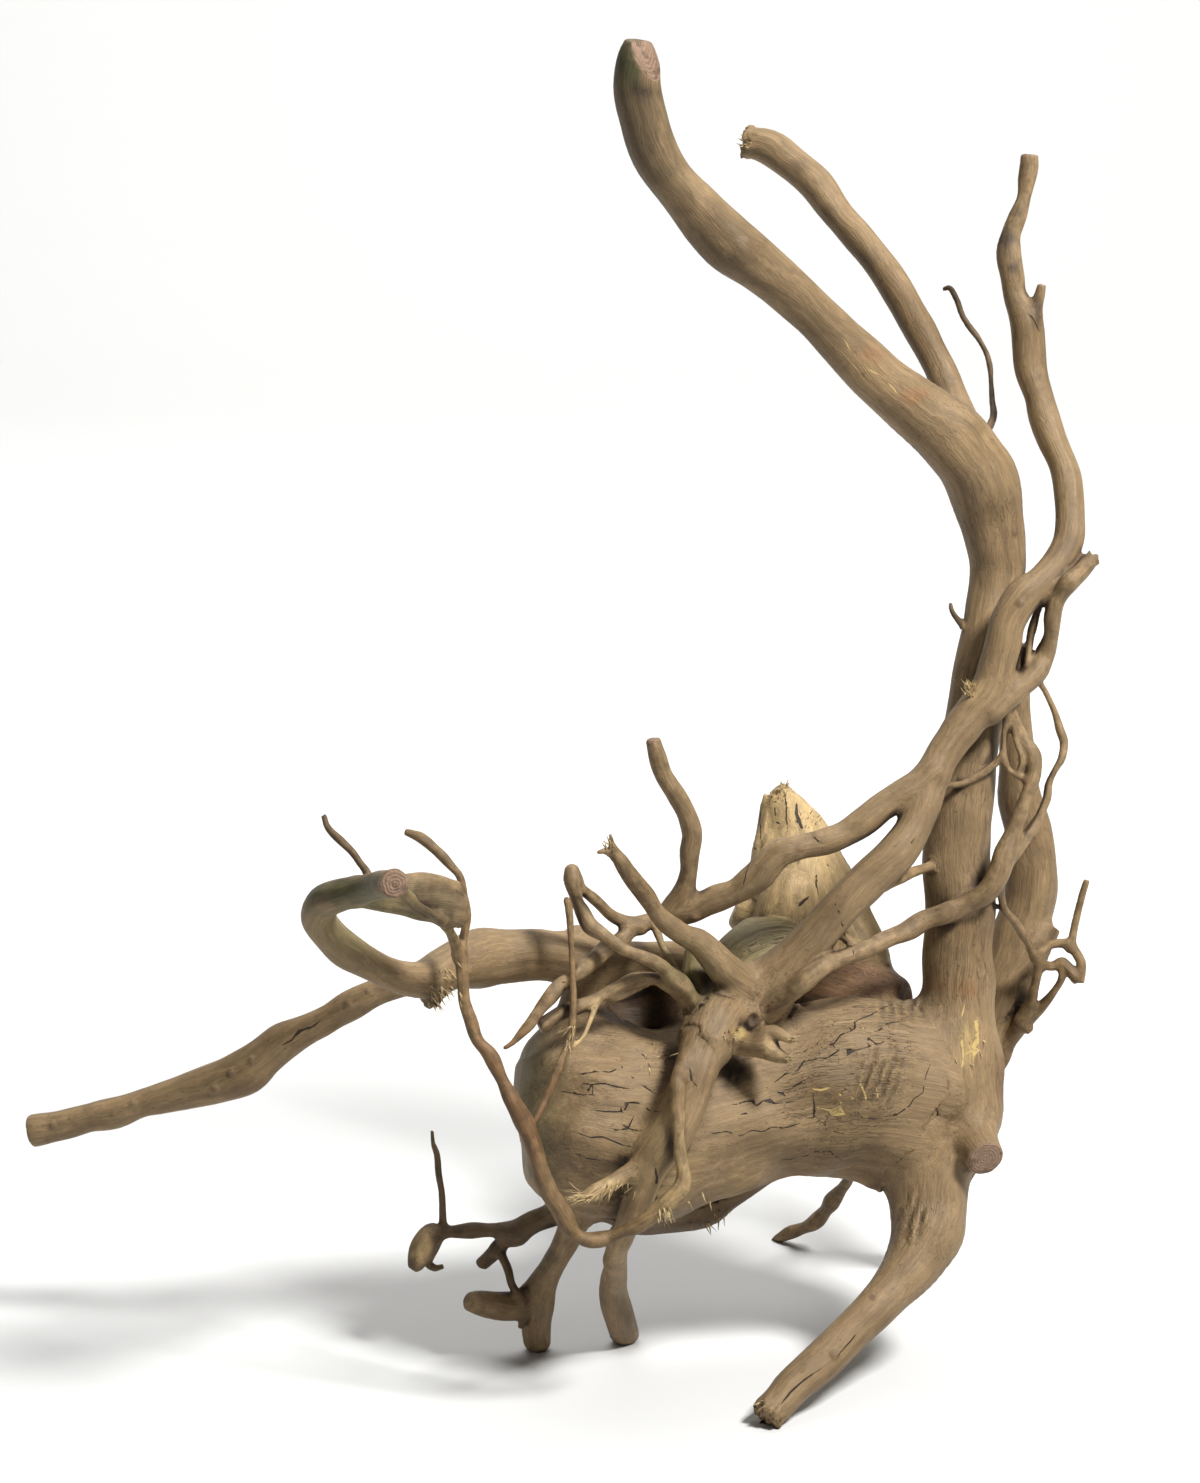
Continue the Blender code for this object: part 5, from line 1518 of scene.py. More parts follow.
class SkinPainter:
    """Writes what the wood's material reads onto the finished mesh."""

    HOLLOW_REACHES = (2.5, 7.0)

    # What counts as a sawn face: how far inside the end it may lie, and how squarely it faces
    END_BAND = 1.2
    END_COSINE = 0.72
    TOP_BAND = 0.4
    TOP_COSINE = 0.9

    def __init__(self, root: RootMesh) -> None:
        """Measures the mesh.

        Args:
            root: The mesh, still in millimetres.
        """
        self.mesh = root.object.data
        self.wood = root.wood
        self.places, self.normals = root.arrays()
        self.corners = np.empty(len(self.mesh.loops), int)
        self.mesh.loops.foreach_get("vertex_index", self.corners)
        self.sample = self.wood.sample(self.places)
        self.marks = Marks(self.places, self.normals)

    def paint(self) -> None:
        """Writes every attribute."""
        self._write("grain", "FLOAT_VECTOR", "CORNER", "vector", self._corner_grain())
        tint = self._tint()
        self._write("tint", "FLOAT_COLOR", "POINT", "color", np.column_stack([tint, np.ones(len(tint))]))
        # How enclosed the skin is, which the material turns into painted shade
        self._write("hollow", "FLOAT", "POINT", "value", self._hollow())
        scrapes = self.marks.cracks(SCRAPES)
        self._write("scrape", "FLOAT_VECTOR", "POINT", "vector", np.column_stack([scrapes, scrapes[:, :1]]))
        cracks = np.column_stack([self.marks.cracks(CRACKS), self.sample.radius])
        self._write("crack", "FLOAT_VECTOR", "POINT", "vector", cracks)
        knots = np.column_stack([self.marks.knots(), self.sample.blend])
        self._write("knot", "FLOAT_VECTOR", "POINT", "vector", knots)
        self._write("sawn", "FLOAT", "CORNER", "value", self._sawn_faces())
        self._write("curl", "FLOAT", "POINT", "value", self.marks.curl())

    def _write(self, name: str, kind: str, domain: str, field: str, values: np.ndarray) -> None:
        """Adds one attribute.

        Args:
            name: The attribute's name.
            kind: Its data type.
            domain: Where it lives.
            field: The data's own name for the value.
            values: One row for each element.
        """
        attribute = self.mesh.attributes.new(name, kind, domain)
        attribute.data.foreach_set(field, np.asarray(values, np.float32).ravel())

    def _corner_grain(self) -> np.ndarray:
        """Finds grain coordinates at every face corner, from one limb for each face.

        Returns:
            One row for each corner.
        """
        grain = self.sample.grain[self.corners]
        limbs = self.sample.limb[self.corners].reshape(-1, 3)
        mixed = np.flatnonzero((limbs != limbs[:, :1]).any(axis=1))
        chosen = np.sort(limbs[mixed], axis=1)[:, 1]
        for number in np.unique(chosen):
            faces = mixed[chosen == number]
            rows = (3 * faces[:, None] + np.arange(3)).ravel()
            places = self.places[self.corners[rows]]
            limb = self.wood.limbs[number]
            grain[rows] = limb.grain(places, limb.foot(places, everywhere=True))
        return grain

    def _tint(self) -> np.ndarray:
        """Mixes the limbs' colours and the blotches.

        Returns:
            Linear RGB for each vertex.
        """
        tints = np.array([limb.tint for limb in self.wood.limbs])
        share = self.sample.blend[:, None]
        tint = tints[self.sample.limb] * (1 - share) + tints[self.sample.second_limb] * share
        for patch in PATCHES:
            mask = patch.strength * self.marks.inside(patch)
            tint += mask[:, None] * (np.array(patch.tint.value) - tint)
        return tint

    def _hollow(self) -> np.ndarray:
        """Measures how enclosed the skin is; the material paints shade there and makes it rougher.

        Returns:
            0 on open skin, near 1 deep between branches.
        """
        closed = np.zeros(len(self.places))
        for reach in self.HOLLOW_REACHES:
            outside = self.places + reach * self.normals
            closed += np.clip(1 - self.wood.field(outside, 0) / reach, 0, 1)
        return closed / len(self.HOLLOW_REACHES)

    def _sawn_faces(self) -> np.ndarray:
        """Finds the corners that lie on sawn faces.

        Returns:
            1 there and 0 elsewhere, for each corner.
        """
        facing = np.empty(len(self.mesh.polygons) * 3, np.float32)
        self.mesh.polygons.foreach_get("normal", facing)
        facing = facing.reshape(-1, 3)
        middles = self.places[self.corners].reshape(-1, 3, 3).mean(axis=1)
        cut = np.zeros(len(facing), bool)
        limbs = self.sample.limb[self.corners].reshape(-1, 3)
        past = self.sample.past[self.corners].reshape(-1, 3).mean(axis=1)
        for number, limb in enumerate(self.wood.limbs):
            if limb.sawn and limb.name not in ("trunk", "log"):
                end = limb.steps[-1] / limb.lengths[-1]
                on_end = (limbs == number).any(axis=1) & (past > -self.END_BAND)
                cut |= on_end & (facing @ end > self.END_COSINE)
        top = np.array(Sheet.to_space(*TOP_FACE_MIDDLE))
        plane = np.abs((middles - top) @ np.array(TOP_FACE_FACING)) < self.TOP_BAND
        near = np.linalg.norm(middles - top, axis=1) < TOP_FACE_REACH
        cut |= plane & near & (facing @ np.array(TOP_FACE_FACING) > self.TOP_COSINE)
        return np.repeat(cut.astype(float), 3)


class Graph:
    """A small helper that adds and links shader nodes."""

    def __init__(self, tree: bpy.types.NodeTree) -> None:
        """Wraps a node tree.

        Args:
            tree: The tree to build.
        """
        self.tree = tree
        self.tree.nodes.clear()

    def add(
        self, kind: str, inputs: dict[str | int, object] | None = None, **settings: object
    ) -> bpy.types.Node:
        """Adds a node.

        Args:
            kind: The node's type.
            inputs: Socket names or numbers, each with a value or an output socket to link.
            settings: The node's own settings.

        Returns:
            The node.
        """
        node = self.tree.nodes.new(kind)
        for name, value in settings.items():
            setattr(node, name, value)
        for key, value in (inputs or {}).items():
            socket = node.inputs[key]
            if isinstance(value, bpy.types.NodeSocket):
                self.tree.links.new(value, socket)
            else:
                socket.default_value = value
        return node

    def math(self, operation: str, *values: object, clamp: bool = False) -> bpy.types.NodeSocket:
        """Adds a math node.

        Args:
            operation: The operation.
            values: Numbers or output sockets.
            clamp: Whether the result is held between 0 and 1.

        Returns:
            The result's socket.
        """
        node = self.add("ShaderNodeMath", dict(enumerate(values)), operation=operation, use_clamp=clamp)
        return node.outputs[0]

    def ramp(
        self, value: object, low: float, high: float, out_low: float = 0.0, out_high: float = 1.0
    ) -> bpy.types.NodeSocket:
        """Maps a range smoothly to another.

        Args:
            value: The socket to map.
            low: Where the range starts.
            high: Where the range ends.
            out_low: What low becomes.
            out_high: What high becomes.

        Returns:
            The result's socket.
        """
        node = self.add(
            "ShaderNodeMapRange",
            {0: value, 1: low, 2: high, 3: out_low, 4: out_high},
            interpolation_type="SMOOTHSTEP",
        )
        return node.outputs[0]

    def mix(self, factor: object, first: object, second: object, blend: str = "MIX") -> bpy.types.NodeSocket:
        """Mixes two colours.

        Args:
            factor: The second colour's share.
            first: The first colour.
            second: The second colour.
            blend: The way they mix.

        Returns:
            The mixed colour's socket.
        """
        node = self.add("ShaderNodeMix", data_type="RGBA", blend_type=blend)
        for socket, value in zip((node.inputs[0], node.inputs[6], node.inputs[7]), (factor, first, second)):
            if isinstance(value, bpy.types.NodeSocket):
                self.tree.links.new(value, socket)
            elif isinstance(value, tuple):
                socket.default_value = (*value, 1.0)
            else:
                socket.default_value = value
        return node.outputs[2]

    def shade(self, colour: object, tone: object, share: object = 1.0) -> bpy.types.NodeSocket:
        """Multiplies a colour by a grey tone.

        Args:
            colour: The colour.
            tone: How light the grey is.
            share: How much of the tone counts.

        Returns:
            The shaded colour's socket.
        """
        grey = self.add("ShaderNodeCombineColor", {0: tone, 1: tone, 2: tone}).outputs[0]
        return self.mix(share, colour, grey, "MULTIPLY")

    def noise(
        self, vector: object, scale: float, detail: float = 2.0, roughness: float = 0.5
    ) -> bpy.types.NodeSocket:
        """Adds noise.

        Args:
            vector: The coordinates.
            scale: The noise's scale.
            detail: Its octaves.
            roughness: Its roughness.

        Returns:
            The noise value's socket.
        """
        return self.add(
            "ShaderNodeTexNoise",
            {"Vector": vector, "Scale": scale, "Detail": detail, "Roughness": roughness},
        ).outputs[0]

    def stretched_noise(
        self, vector: object, stretch: Colour, scale: float, detail: float, roughness: float
    ) -> bpy.types.NodeSocket:
        """Adds noise stretched along an axis.

        Args:
            vector: The coordinates.
            stretch: Factors for the three coordinates.
            scale: The noise's scale.
            detail: Its octaves.
            roughness: Its roughness.

        Returns:
            The noise value's socket.
        """
        scaled = self.add("ShaderNodeVectorMath", {0: vector, 1: stretch}, operation="MULTIPLY")
        return self.noise(scaled.outputs[0], scale, detail, roughness)

    def attribute(self, name: str, output: str) -> bpy.types.NodeSocket:
        """Reads an attribute.

        Args:
            name: The attribute's name.
            output: The output wanted: Color, Vector or Fac.

        Returns:
            Its socket.
        """
        return self.add("ShaderNodeAttribute", attribute_name=name).outputs[output]


def long_grain_group() -> bpy.types.NodeTree:
    """Builds the wood grain shared by the root and its loose fibres.

    Returns:
        A group that turns grain coordinates in millimetres into streaks, fibres and flecks.
    """
    group = bpy.data.node_groups.new("long_grain", "ShaderNodeTree")
    group.interface.new_socket("Grain", in_out="INPUT", socket_type="NodeSocketVector")
    for name in ("Streaks", "Fibres", "Flecks", "Checks"):
        group.interface.new_socket(name, in_out="OUTPUT", socket_type="NodeSocketFloat")
    graph = Graph(group)
    grain = graph.add("NodeGroupInput").outputs[0]
    sway = graph.add("ShaderNodeTexNoise", {"Vector": grain, "Scale": 0.045, "Detail": 2.0})
    swayed = graph.add("ShaderNodeVectorMath", {0: sway.outputs[1], 1: (0.0, 5.0, 5.0)}, operation="MULTIPLY")
    grain = graph.add("ShaderNodeVectorMath", {0: grain, 1: swayed.outputs[0]}, operation="ADD").outputs[0]
    streaks = graph.stretched_noise(grain, (0.045, 1.0, 1.0), 0.34, 3.0, 0.6)
    fibres = graph.stretched_noise(grain, (0.05, 1.0, 1.0), 2.1, 3.0, 0.7)
    flecks = graph.stretched_noise(grain, (0.30, 1.0, 1.0), 1.1, 2.0, 0.6)
    checks = graph.stretched_noise(grain, (0.035, 1.0, 1.0), 0.95, 1.0, 0.4)
    thin_line = graph.math("ABSOLUTE", graph.math("SUBTRACT", checks, 0.5))
    checks = graph.ramp(thin_line, 0.018, 0.0)
    graph.add(
        "NodeGroupOutput",
        {"Streaks": streaks, "Fibres": fibres, "Flecks": graph.ramp(flecks, 0.62, 0.74), "Checks": checks},
    )
    return group


class WoodMaterial:
    """The dry wood of the root."""

    DULLED = (0.62, 0.57, 0.50)
    CLEARED = (1.32, 1.32, 1.30)
    GRIME = (0.095, 0.062, 0.035)
    FLECK = (1.5, 1.5, 1.4)
    SPECK = (0.06, 0.04, 0.025)
    CURL_SHADOW = (0.085, 0.055, 0.030)
    KNOT_EYE = (0.12, 0.075, 0.045)
    END_STAIN = (0.07, 0.042, 0.028)
    WORN_EDGE = (0.14, 0.10, 0.065)
    SMALL_CHECK = (0.07, 0.05, 0.035)
    OPEN_CRACK = (0.022, 0.015, 0.010)
    # The painted shade deep between branches
    HOLLOW_SHADE = (0.040, 0.024, 0.015)
    CURL_RATE = 1500.0
    KNOT_RING_RATE = 26.0
    YEAR_RING_RATE = 5.2
    RELIEF_DEPTH = 0.0009
    SHEEN = 0.22

    def __init__(self, grain_group: bpy.types.NodeTree) -> None:
        """Builds the material.

        Args:
            grain_group: The shared grain.
        """
        self.material = bpy.data.materials.new("dry_root_wood")
        self.material.use_nodes = True
        self.graph = graph = Graph(self.material.node_tree)
        grain = graph.add("ShaderNodeGroup", node_tree=grain_group)
        graph.tree.links.new(graph.attribute("grain", "Vector"), grain.inputs[0])
        self.streaks, self.fibres, self.flecks, self.checks = (grain.outputs[i] for i in range(4))
        self.place = graph.add("ShaderNodeTexCoord").outputs["Object"]
        self.clouds = graph.noise(self.place, 16.0, 4.0, 0.6)
        self.grime = graph.noise(self.place, 55.0, 5.0, 0.7)
        self.bark = graph.noise(self.place, 240.0, 4.0)
        self.crack = graph.add("ShaderNodeSeparateXYZ", {0: graph.attribute("crack", "Vector")}).outputs
        self.slender = graph.ramp(self.crack[2], 7.0, 2.5, 0.15, 1.0)
        self.curl = self._curl()
        self.ring_wave = self._ring_wave()
        self.sawn = graph.attribute("sawn", "Fac")
        self.hollow = graph.attribute("hollow", "Fac")
        self.open_crack, self.worn_edge, self.small_check = self._cracks()

        colour = self._grown(graph.attribute("tint", "Color"))
        colour = graph.mix(self.sawn, colour, self._sawn_end())
        colour = self._worn(colour)
        bump = graph.add(
            "ShaderNodeBump", {"Strength": 1.0, "Distance": self.RELIEF_DEPTH, "Height": self._height()}
        )
        rough = graph.ramp(self.fibres, 0.3, 0.7, 0.42, 0.60)
        rough = graph.math("ADD", rough, graph.math("MULTIPLY", self.hollow, 0.2))
        inputs = {
            "Base Color": colour, "Roughness": rough, "Normal": bump.outputs[0],
            "Specular IOR Level": self.SHEEN,
        }
        shader = graph.add("ShaderNodeBsdfPrincipled", inputs)
        graph.add("ShaderNodeOutputMaterial", {"Surface": shader.outputs[0]})

    def _curl(self) -> bpy.types.NodeSocket:
        """Makes the waves of the curly grain.

        Returns:
            The wave's socket, 0 outside the rippled patches.
        """
        graph = self.graph
        along = graph.add("ShaderNodeSeparateXYZ", {0: self.place})
        slant = graph.math("SUBTRACT", along.outputs[0], graph.math("MULTIPLY", along.outputs[2], 0.35))
        sway = graph.math("MULTIPLY", self.clouds, 14.0)
        sway = graph.math("ADD", sway, graph.math("MULTIPLY", self.grime, 9.0))
        wave = graph.math("ADD", graph.math("MULTIPLY", slant, self.CURL_RATE), sway)
        curl = graph.math("MULTIPLY", graph.math("SINE", wave), graph.attribute("curl", "Fac"))
        return graph.math("MULTIPLY", curl, graph.ramp(self.grime, 0.35, 0.6))

    def _ring_wave(self) -> bpy.types.NodeSocket:
        """Makes the growth rings of a sawn end.

        Returns:
            The wave's socket.
        """
        graph = self.graph
        across = {0: graph.attribute("grain", "Vector"), 1: (0.0, 1.0, 1.0)}
        radial = graph.add("ShaderNodeVectorMath", across, operation="MULTIPLY").outputs[0]
        wobble = graph.math("MULTIPLY", graph.noise(radial, 0.22, 3.0), 9.0)
        radius = graph.add("ShaderNodeVectorMath", {0: radial}, operation="LENGTH").outputs["Value"]
        return graph.math(
            "SINE", graph.math("ADD", graph.math("MULTIPLY", radius, self.YEAR_RING_RATE), wobble)
        )

    def _wander(self) -> bpy.types.NodeSocket:
        """Makes the small sideways wander of cracks and scrapes.

        Returns:
            The wander's socket, in millimetres.
        """
        return self.graph.math("MULTIPLY", self.graph.math("SUBTRACT", self.grime, 0.5), 1.4)

    def _cracks(self) -> tuple[bpy.types.NodeSocket, ...]:
        """Makes the masks of open cracks, their worn edges, and small checks.

        Returns:
            Their sockets.
        """
        graph = self.graph
        offset = graph.math("ABSOLUTE", graph.math("ADD", self.crack[0], self._wander()))
        gap = graph.math("SUBTRACT", offset, self.crack[1])
        open_crack = graph.ramp(gap, 0.20, -0.04)
        worn_edge = graph.math("MULTIPLY", graph.ramp(gap, 0.8, 0.1), graph.ramp(self.crack[1], -0.1, 0.1))
        small_check = graph.math("MULTIPLY", self.checks, graph.ramp(self.crack[2], 5.0, 22.0))
        small_check = graph.math("MULTIPLY", small_check, graph.ramp(self.clouds, 0.47, 0.56))
        return open_crack, worn_edge, small_check

    def _grown(self, colour: bpy.types.NodeSocket) -> bpy.types.NodeSocket:
        """Adds grain, clouds, grime, curly grain, bark and knots to the wood's own colour.

        Args:
            colour: The wood's own colour.

        Returns:
            The colour's socket.
        """
        graph = self.graph
        colour = graph.shade(colour, graph.ramp(self.streaks, 0.3, 0.7, 0.80, 1.14))
        colour = graph.shade(colour, graph.ramp(self.fibres, 0.3, 0.72, 0.80, 1.16))
        dull = graph.ramp(self.clouds, 0.50, 0.70, 0.0, 0.75)
        colour = graph.mix(dull, colour, self.DULLED, "MULTIPLY")
        clear = graph.ramp(self.clouds, 0.46, 0.30, 0.0, 0.80)
        colour = graph.mix(clear, colour, self.CLEARED, "MULTIPLY")
        colour = graph.mix(graph.ramp(self.grime, 0.56, 0.74, 0.0, 0.5), colour, self.GRIME)
        colour = graph.mix(graph.math("MULTIPLY", self.flecks, 0.5), colour, self.FLECK, "MULTIPLY")
        specks = graph.noise(self.place, 420.0)
        colour = graph.mix(graph.ramp(specks, 0.66, 0.72, 0.0, 0.4), colour, self.SPECK)
        colour = graph.mix(graph.ramp(self.curl, 0.15, -0.7, 0.0, 0.6), colour, self.CURL_SHADOW)
        colour = graph.shade(colour, graph.ramp(self.bark, 0.36, 0.62, 0.76, 1.14), self.slender)
        knot = graph.add("ShaderNodeSeparateXYZ", {0: graph.attribute("knot", "Vector")}).outputs
        rings = graph.math("SINE", graph.math("MULTIPLY", knot[0], self.KNOT_RING_RATE))
        knot_mask = graph.math("MULTIPLY", graph.ramp(knot[0], 0.28, 0.62), knot[1])
        knot_mask = graph.math("MULTIPLY", knot_mask, graph.ramp(rings, -1.0, 1.0, 0.55, 0.85))
        return graph.mix(knot_mask, colour, self.KNOT_EYE)

    def _sawn_end(self) -> bpy.types.NodeSocket:
        """Makes the colour of a sawn end.

        Returns:
            The colour's socket.
        """
        graph = self.graph
        colour = graph.shade(Tint.SAWN.value, graph.ramp(self.ring_wave, -1.0, 1.0, 0.80, 1.06))
        colour = graph.shade(colour, graph.ramp(graph.noise(self.place, 900.0), 0.3, 0.7, 0.85, 1.1))
        return graph.mix(graph.ramp(self.bark, 0.52, 0.64, 0.0, 0.65), colour, self.END_STAIN)

    def _worn(self, colour: bpy.types.NodeSocket) -> bpy.types.NodeSocket:
        """Adds scrapes, cracks and painted shade in the hollows.

        Args:
            colour: The wood's colour without them.

        Returns:
            The colour's socket.
        """
        graph = self.graph
        scrape = graph.add("ShaderNodeSeparateXYZ", {0: graph.attribute("scrape", "Vector")}).outputs
        wander = graph.math("MULTIPLY", self._wander(), 1.6)
        raw = graph.math("ABSOLUTE", graph.math("ADD", scrape[0], wander))
        raw = graph.ramp(graph.math("SUBTRACT", raw, scrape[1]), 0.25, -0.1)
        colour = graph.mix(graph.math("MULTIPLY", raw, 0.75), colour, Tint.FRESH.value)
        for mask, strength, tone in (
            (self.worn_edge, 0.25, self.WORN_EDGE),
            (self.small_check, 0.7, self.SMALL_CHECK),
            (self.open_crack, 0.95, self.OPEN_CRACK),
        ):
            colour = graph.mix(graph.math("MULTIPLY", mask, strength), colour, tone)
        # Painted shade: the skin darkens where branches enclose it
        return graph.mix(graph.ramp(self.hollow, 0.22, 0.80, 0.0, 0.88), colour, self.HOLLOW_SHADE)

    def _height(self) -> bpy.types.NodeSocket:
        """Adds up the fine relief.

        Returns:
            The height's socket, in relief depths.
        """
        graph = self.graph
        height = graph.math("MULTIPLY", self.streaks, 0.45)
        for operation, part, strength in (
            ("ADD", self.curl, 0.8),
            ("ADD", self.fibres, 0.30),
            ("ADD", self.grime, 0.25),
            ("ADD", graph.math("MULTIPLY", self.bark, self.slender), 0.4),
            ("SUBTRACT", self.small_check, 0.5),
            ("SUBTRACT", self.open_crack, 1.6),
            ("ADD", graph.math("MULTIPLY", self.sawn, self.ring_wave), 0.08),
        ):
            height = graph.math(operation, height, graph.math("MULTIPLY", part, strength))
        return height


def fibre_material(grain_group: bpy.types.NodeTree) -> bpy.types.Material:
    """Builds the pale fresh wood of the torn fibres.

    Args:
        grain_group: The shared grain.

    Returns:
        The material.
    """
    material = bpy.data.materials.new("torn_fibre_wood")
    material.use_nodes = True
    graph = Graph(material.node_tree)
    place = graph.add("ShaderNodeTexCoord").outputs["Object"]
    scaled = graph.add("ShaderNodeVectorMath", {0: place, "Scale": 1000.0}, operation="SCALE")
    grain = graph.add("ShaderNodeGroup", node_tree=grain_group)
    graph.tree.links.new(scaled.outputs[0], grain.inputs[0])
    tone = graph.ramp(grain.outputs[0], 0.3, 0.7)
    colour = graph.mix(tone, (0.20, 0.135, 0.062), (0.46, 0.34, 0.165))
    shader = graph.add("ShaderNodeBsdfPrincipled", {"Base Color": colour, "Roughness": 0.7})
    graph.add("ShaderNodeOutputMaterial", {"Surface": shader.outputs[0]})
    return material


class TornFibres:
    """Loose fibres at the torn ends, one Geometry Nodes tree over the places where they stand."""

    SEED = 5
    THICKNESS = 0.36
    BEND = 0.9
    SIDES = 5
    ROOT_DEPTH = 0.4
    OUTWARD = 0.35
    SCATTER = 0.28

    def __init__(self, places: np.ndarray, normals: np.ndarray) -> None:
        """Finds where the fibres stand.

        Args:
            places: The skin's vertices in millimetres.
            normals: Their normals.
        """
        marks = Marks(places, normals)
        random = np.random.default_rng(self.SEED)
        roots, leans, lengths = [], [], []
        for tuft in TUFTS:
            lean = np.array((tuft.lean[0], 0.0, 0.0)) + tuft.lean[1] * EYE_UP + tuft.lean[2] * EYE_FORWARD
            for _ in range(tuft.count):
                turn, far = random.uniform(0, 2 * math.pi), tuft.spread * math.sqrt(random.uniform())
                row = marks.on_skin(tuft.across + far * math.cos(turn), tuft.up + far * math.sin(turn))
                own = lean / np.linalg.norm(lean) + self.OUTWARD * normals[row]
                own += self.SCATTER * random.normal(size=3)
                roots.append(places[row] - self.ROOT_DEPTH * normals[row])
                leans.append(own / np.linalg.norm(own))
                lengths.append(tuft.length * random.uniform(0.6, 1.5))
        mesh = bpy.data.meshes.new("torn_fibres")
        mesh.from_pydata((np.array(roots) * MM).tolist(), [], [])
        mesh.attributes.new("lean", "FLOAT_VECTOR", "POINT").data.foreach_set("vector", np.ravel(leans))
        mesh.attributes.new("length", "FLOAT", "POINT").data.foreach_set("value", lengths)
        self.object = bpy.data.objects.new("torn_fibres", mesh)
        bpy.context.scene.collection.objects.link(self.object)

    def grow(self, material: bpy.types.Material) -> bpy.types.Object:
        """Grows the fibres and bakes them into a plain mesh.

        Args:
            material: What they are made of.

        Returns:
            The finished object.
        """
        tree = self._tree(material)
        modifier = self.object.modifiers.new("grow", "NODES")
        modifier.node_group = tree
        sockets = {item.name: item.identifier for item in tree.interface.items_tree if item.in_out == "INPUT"}
        modifier[sockets["Thickness"]] = self.THICKNESS * MM
        modifier[sockets["Bend"]] = self.BEND * MM
        modifier[sockets["Seed"]] = self.SEED
        graph = bpy.context.evaluated_depsgraph_get()
        finished = bpy.data.meshes.new_from_object(self.object.evaluated_get(graph))
        self.object.modifiers.remove(modifier)
        self.object.data = finished
        return self.object

    def _tree(self, material: bpy.types.Material) -> bpy.types.NodeTree:
        """Builds the tree: one tapered fibre on each point, leaning its own way and bent a little.

        Args:
            material: What the fibres are made of.

        Returns:
            The node tree.
        """
        tree = bpy.data.node_groups.new("grow_fibres", "GeometryNodeTree")
        face = tree.interface
        face.new_socket("Geometry", in_out="INPUT", socket_type="NodeSocketGeometry")
        face.new_socket("Thickness", in_out="INPUT", socket_type="NodeSocketFloat")
        face.new_socket("Bend", in_out="INPUT", socket_type="NodeSocketFloat")
        face.new_socket("Seed", in_out="INPUT", socket_type="NodeSocketInt")
        face.new_socket("Geometry", in_out="OUTPUT", socket_type="NodeSocketGeometry")
        graph = Graph(tree)
        given = graph.add("NodeGroupInput").outputs
        lean = graph.add("GeometryNodeInputNamedAttribute", {"Name": "lean"}, data_type="FLOAT_VECTOR")
        length = graph.add("GeometryNodeInputNamedAttribute", {"Name": "length"}, data_type="FLOAT")
        cone = graph.add(
            "GeometryNodeMeshCone",
            {
                "Vertices": self.SIDES, "Side Segments": 4,
                "Radius Top": 0.12, "Radius Bottom": 1.0, "Depth": 1.0,
            },
        )
        turn = graph.add("FunctionNodeAlignRotationToVector", {"Vector": lean.outputs[0]}, axis="Z")
        width = graph.add(
            "FunctionNodeRandomValue", {2: 0.55, 3: 1.5, "Seed": given["Seed"]}, data_type="FLOAT"
        )
        girth = graph.math("MULTIPLY", given["Thickness"], width.outputs[1])
        reach = graph.math("MULTIPLY", length.outputs[0], MM)
        scale = graph.add("ShaderNodeCombineXYZ", {0: girth, 1: girth, 2: reach})
        fibres = graph.add(
            "GeometryNodeInstanceOnPoints",
            {
                "Points": given["Geometry"], "Instance": cone.outputs["Mesh"],
                "Rotation": turn.outputs[0], "Scale": scale.outputs[0],
            },
        )
        real = graph.add("GeometryNodeRealizeInstances", {0: fibres.outputs[0]})
        position = graph.add("GeometryNodeInputPosition").outputs[0]
        noise = graph.add("ShaderNodeTexNoise", {"Vector": position, "Scale": 330.0})
        centred = graph.add(
            "ShaderNodeVectorMath", {0: noise.outputs[1], 1: (0.5, 0.5, 0.5)}, operation="SUBTRACT"
        )
        bend = graph.add(
            "ShaderNodeVectorMath", {0: centred.outputs[0], "Scale": given["Bend"]}, operation="SCALE"
        )
        bent = graph.add("GeometryNodeSetPosition", {"Geometry": real.outputs[0], "Offset": bend.outputs[0]})
        dressed = graph.add("GeometryNodeSetMaterial", {"Geometry": bent.outputs[0], "Material": material})
        graph.add("NodeGroupOutput", {0: dressed.outputs[0]})
        return tree


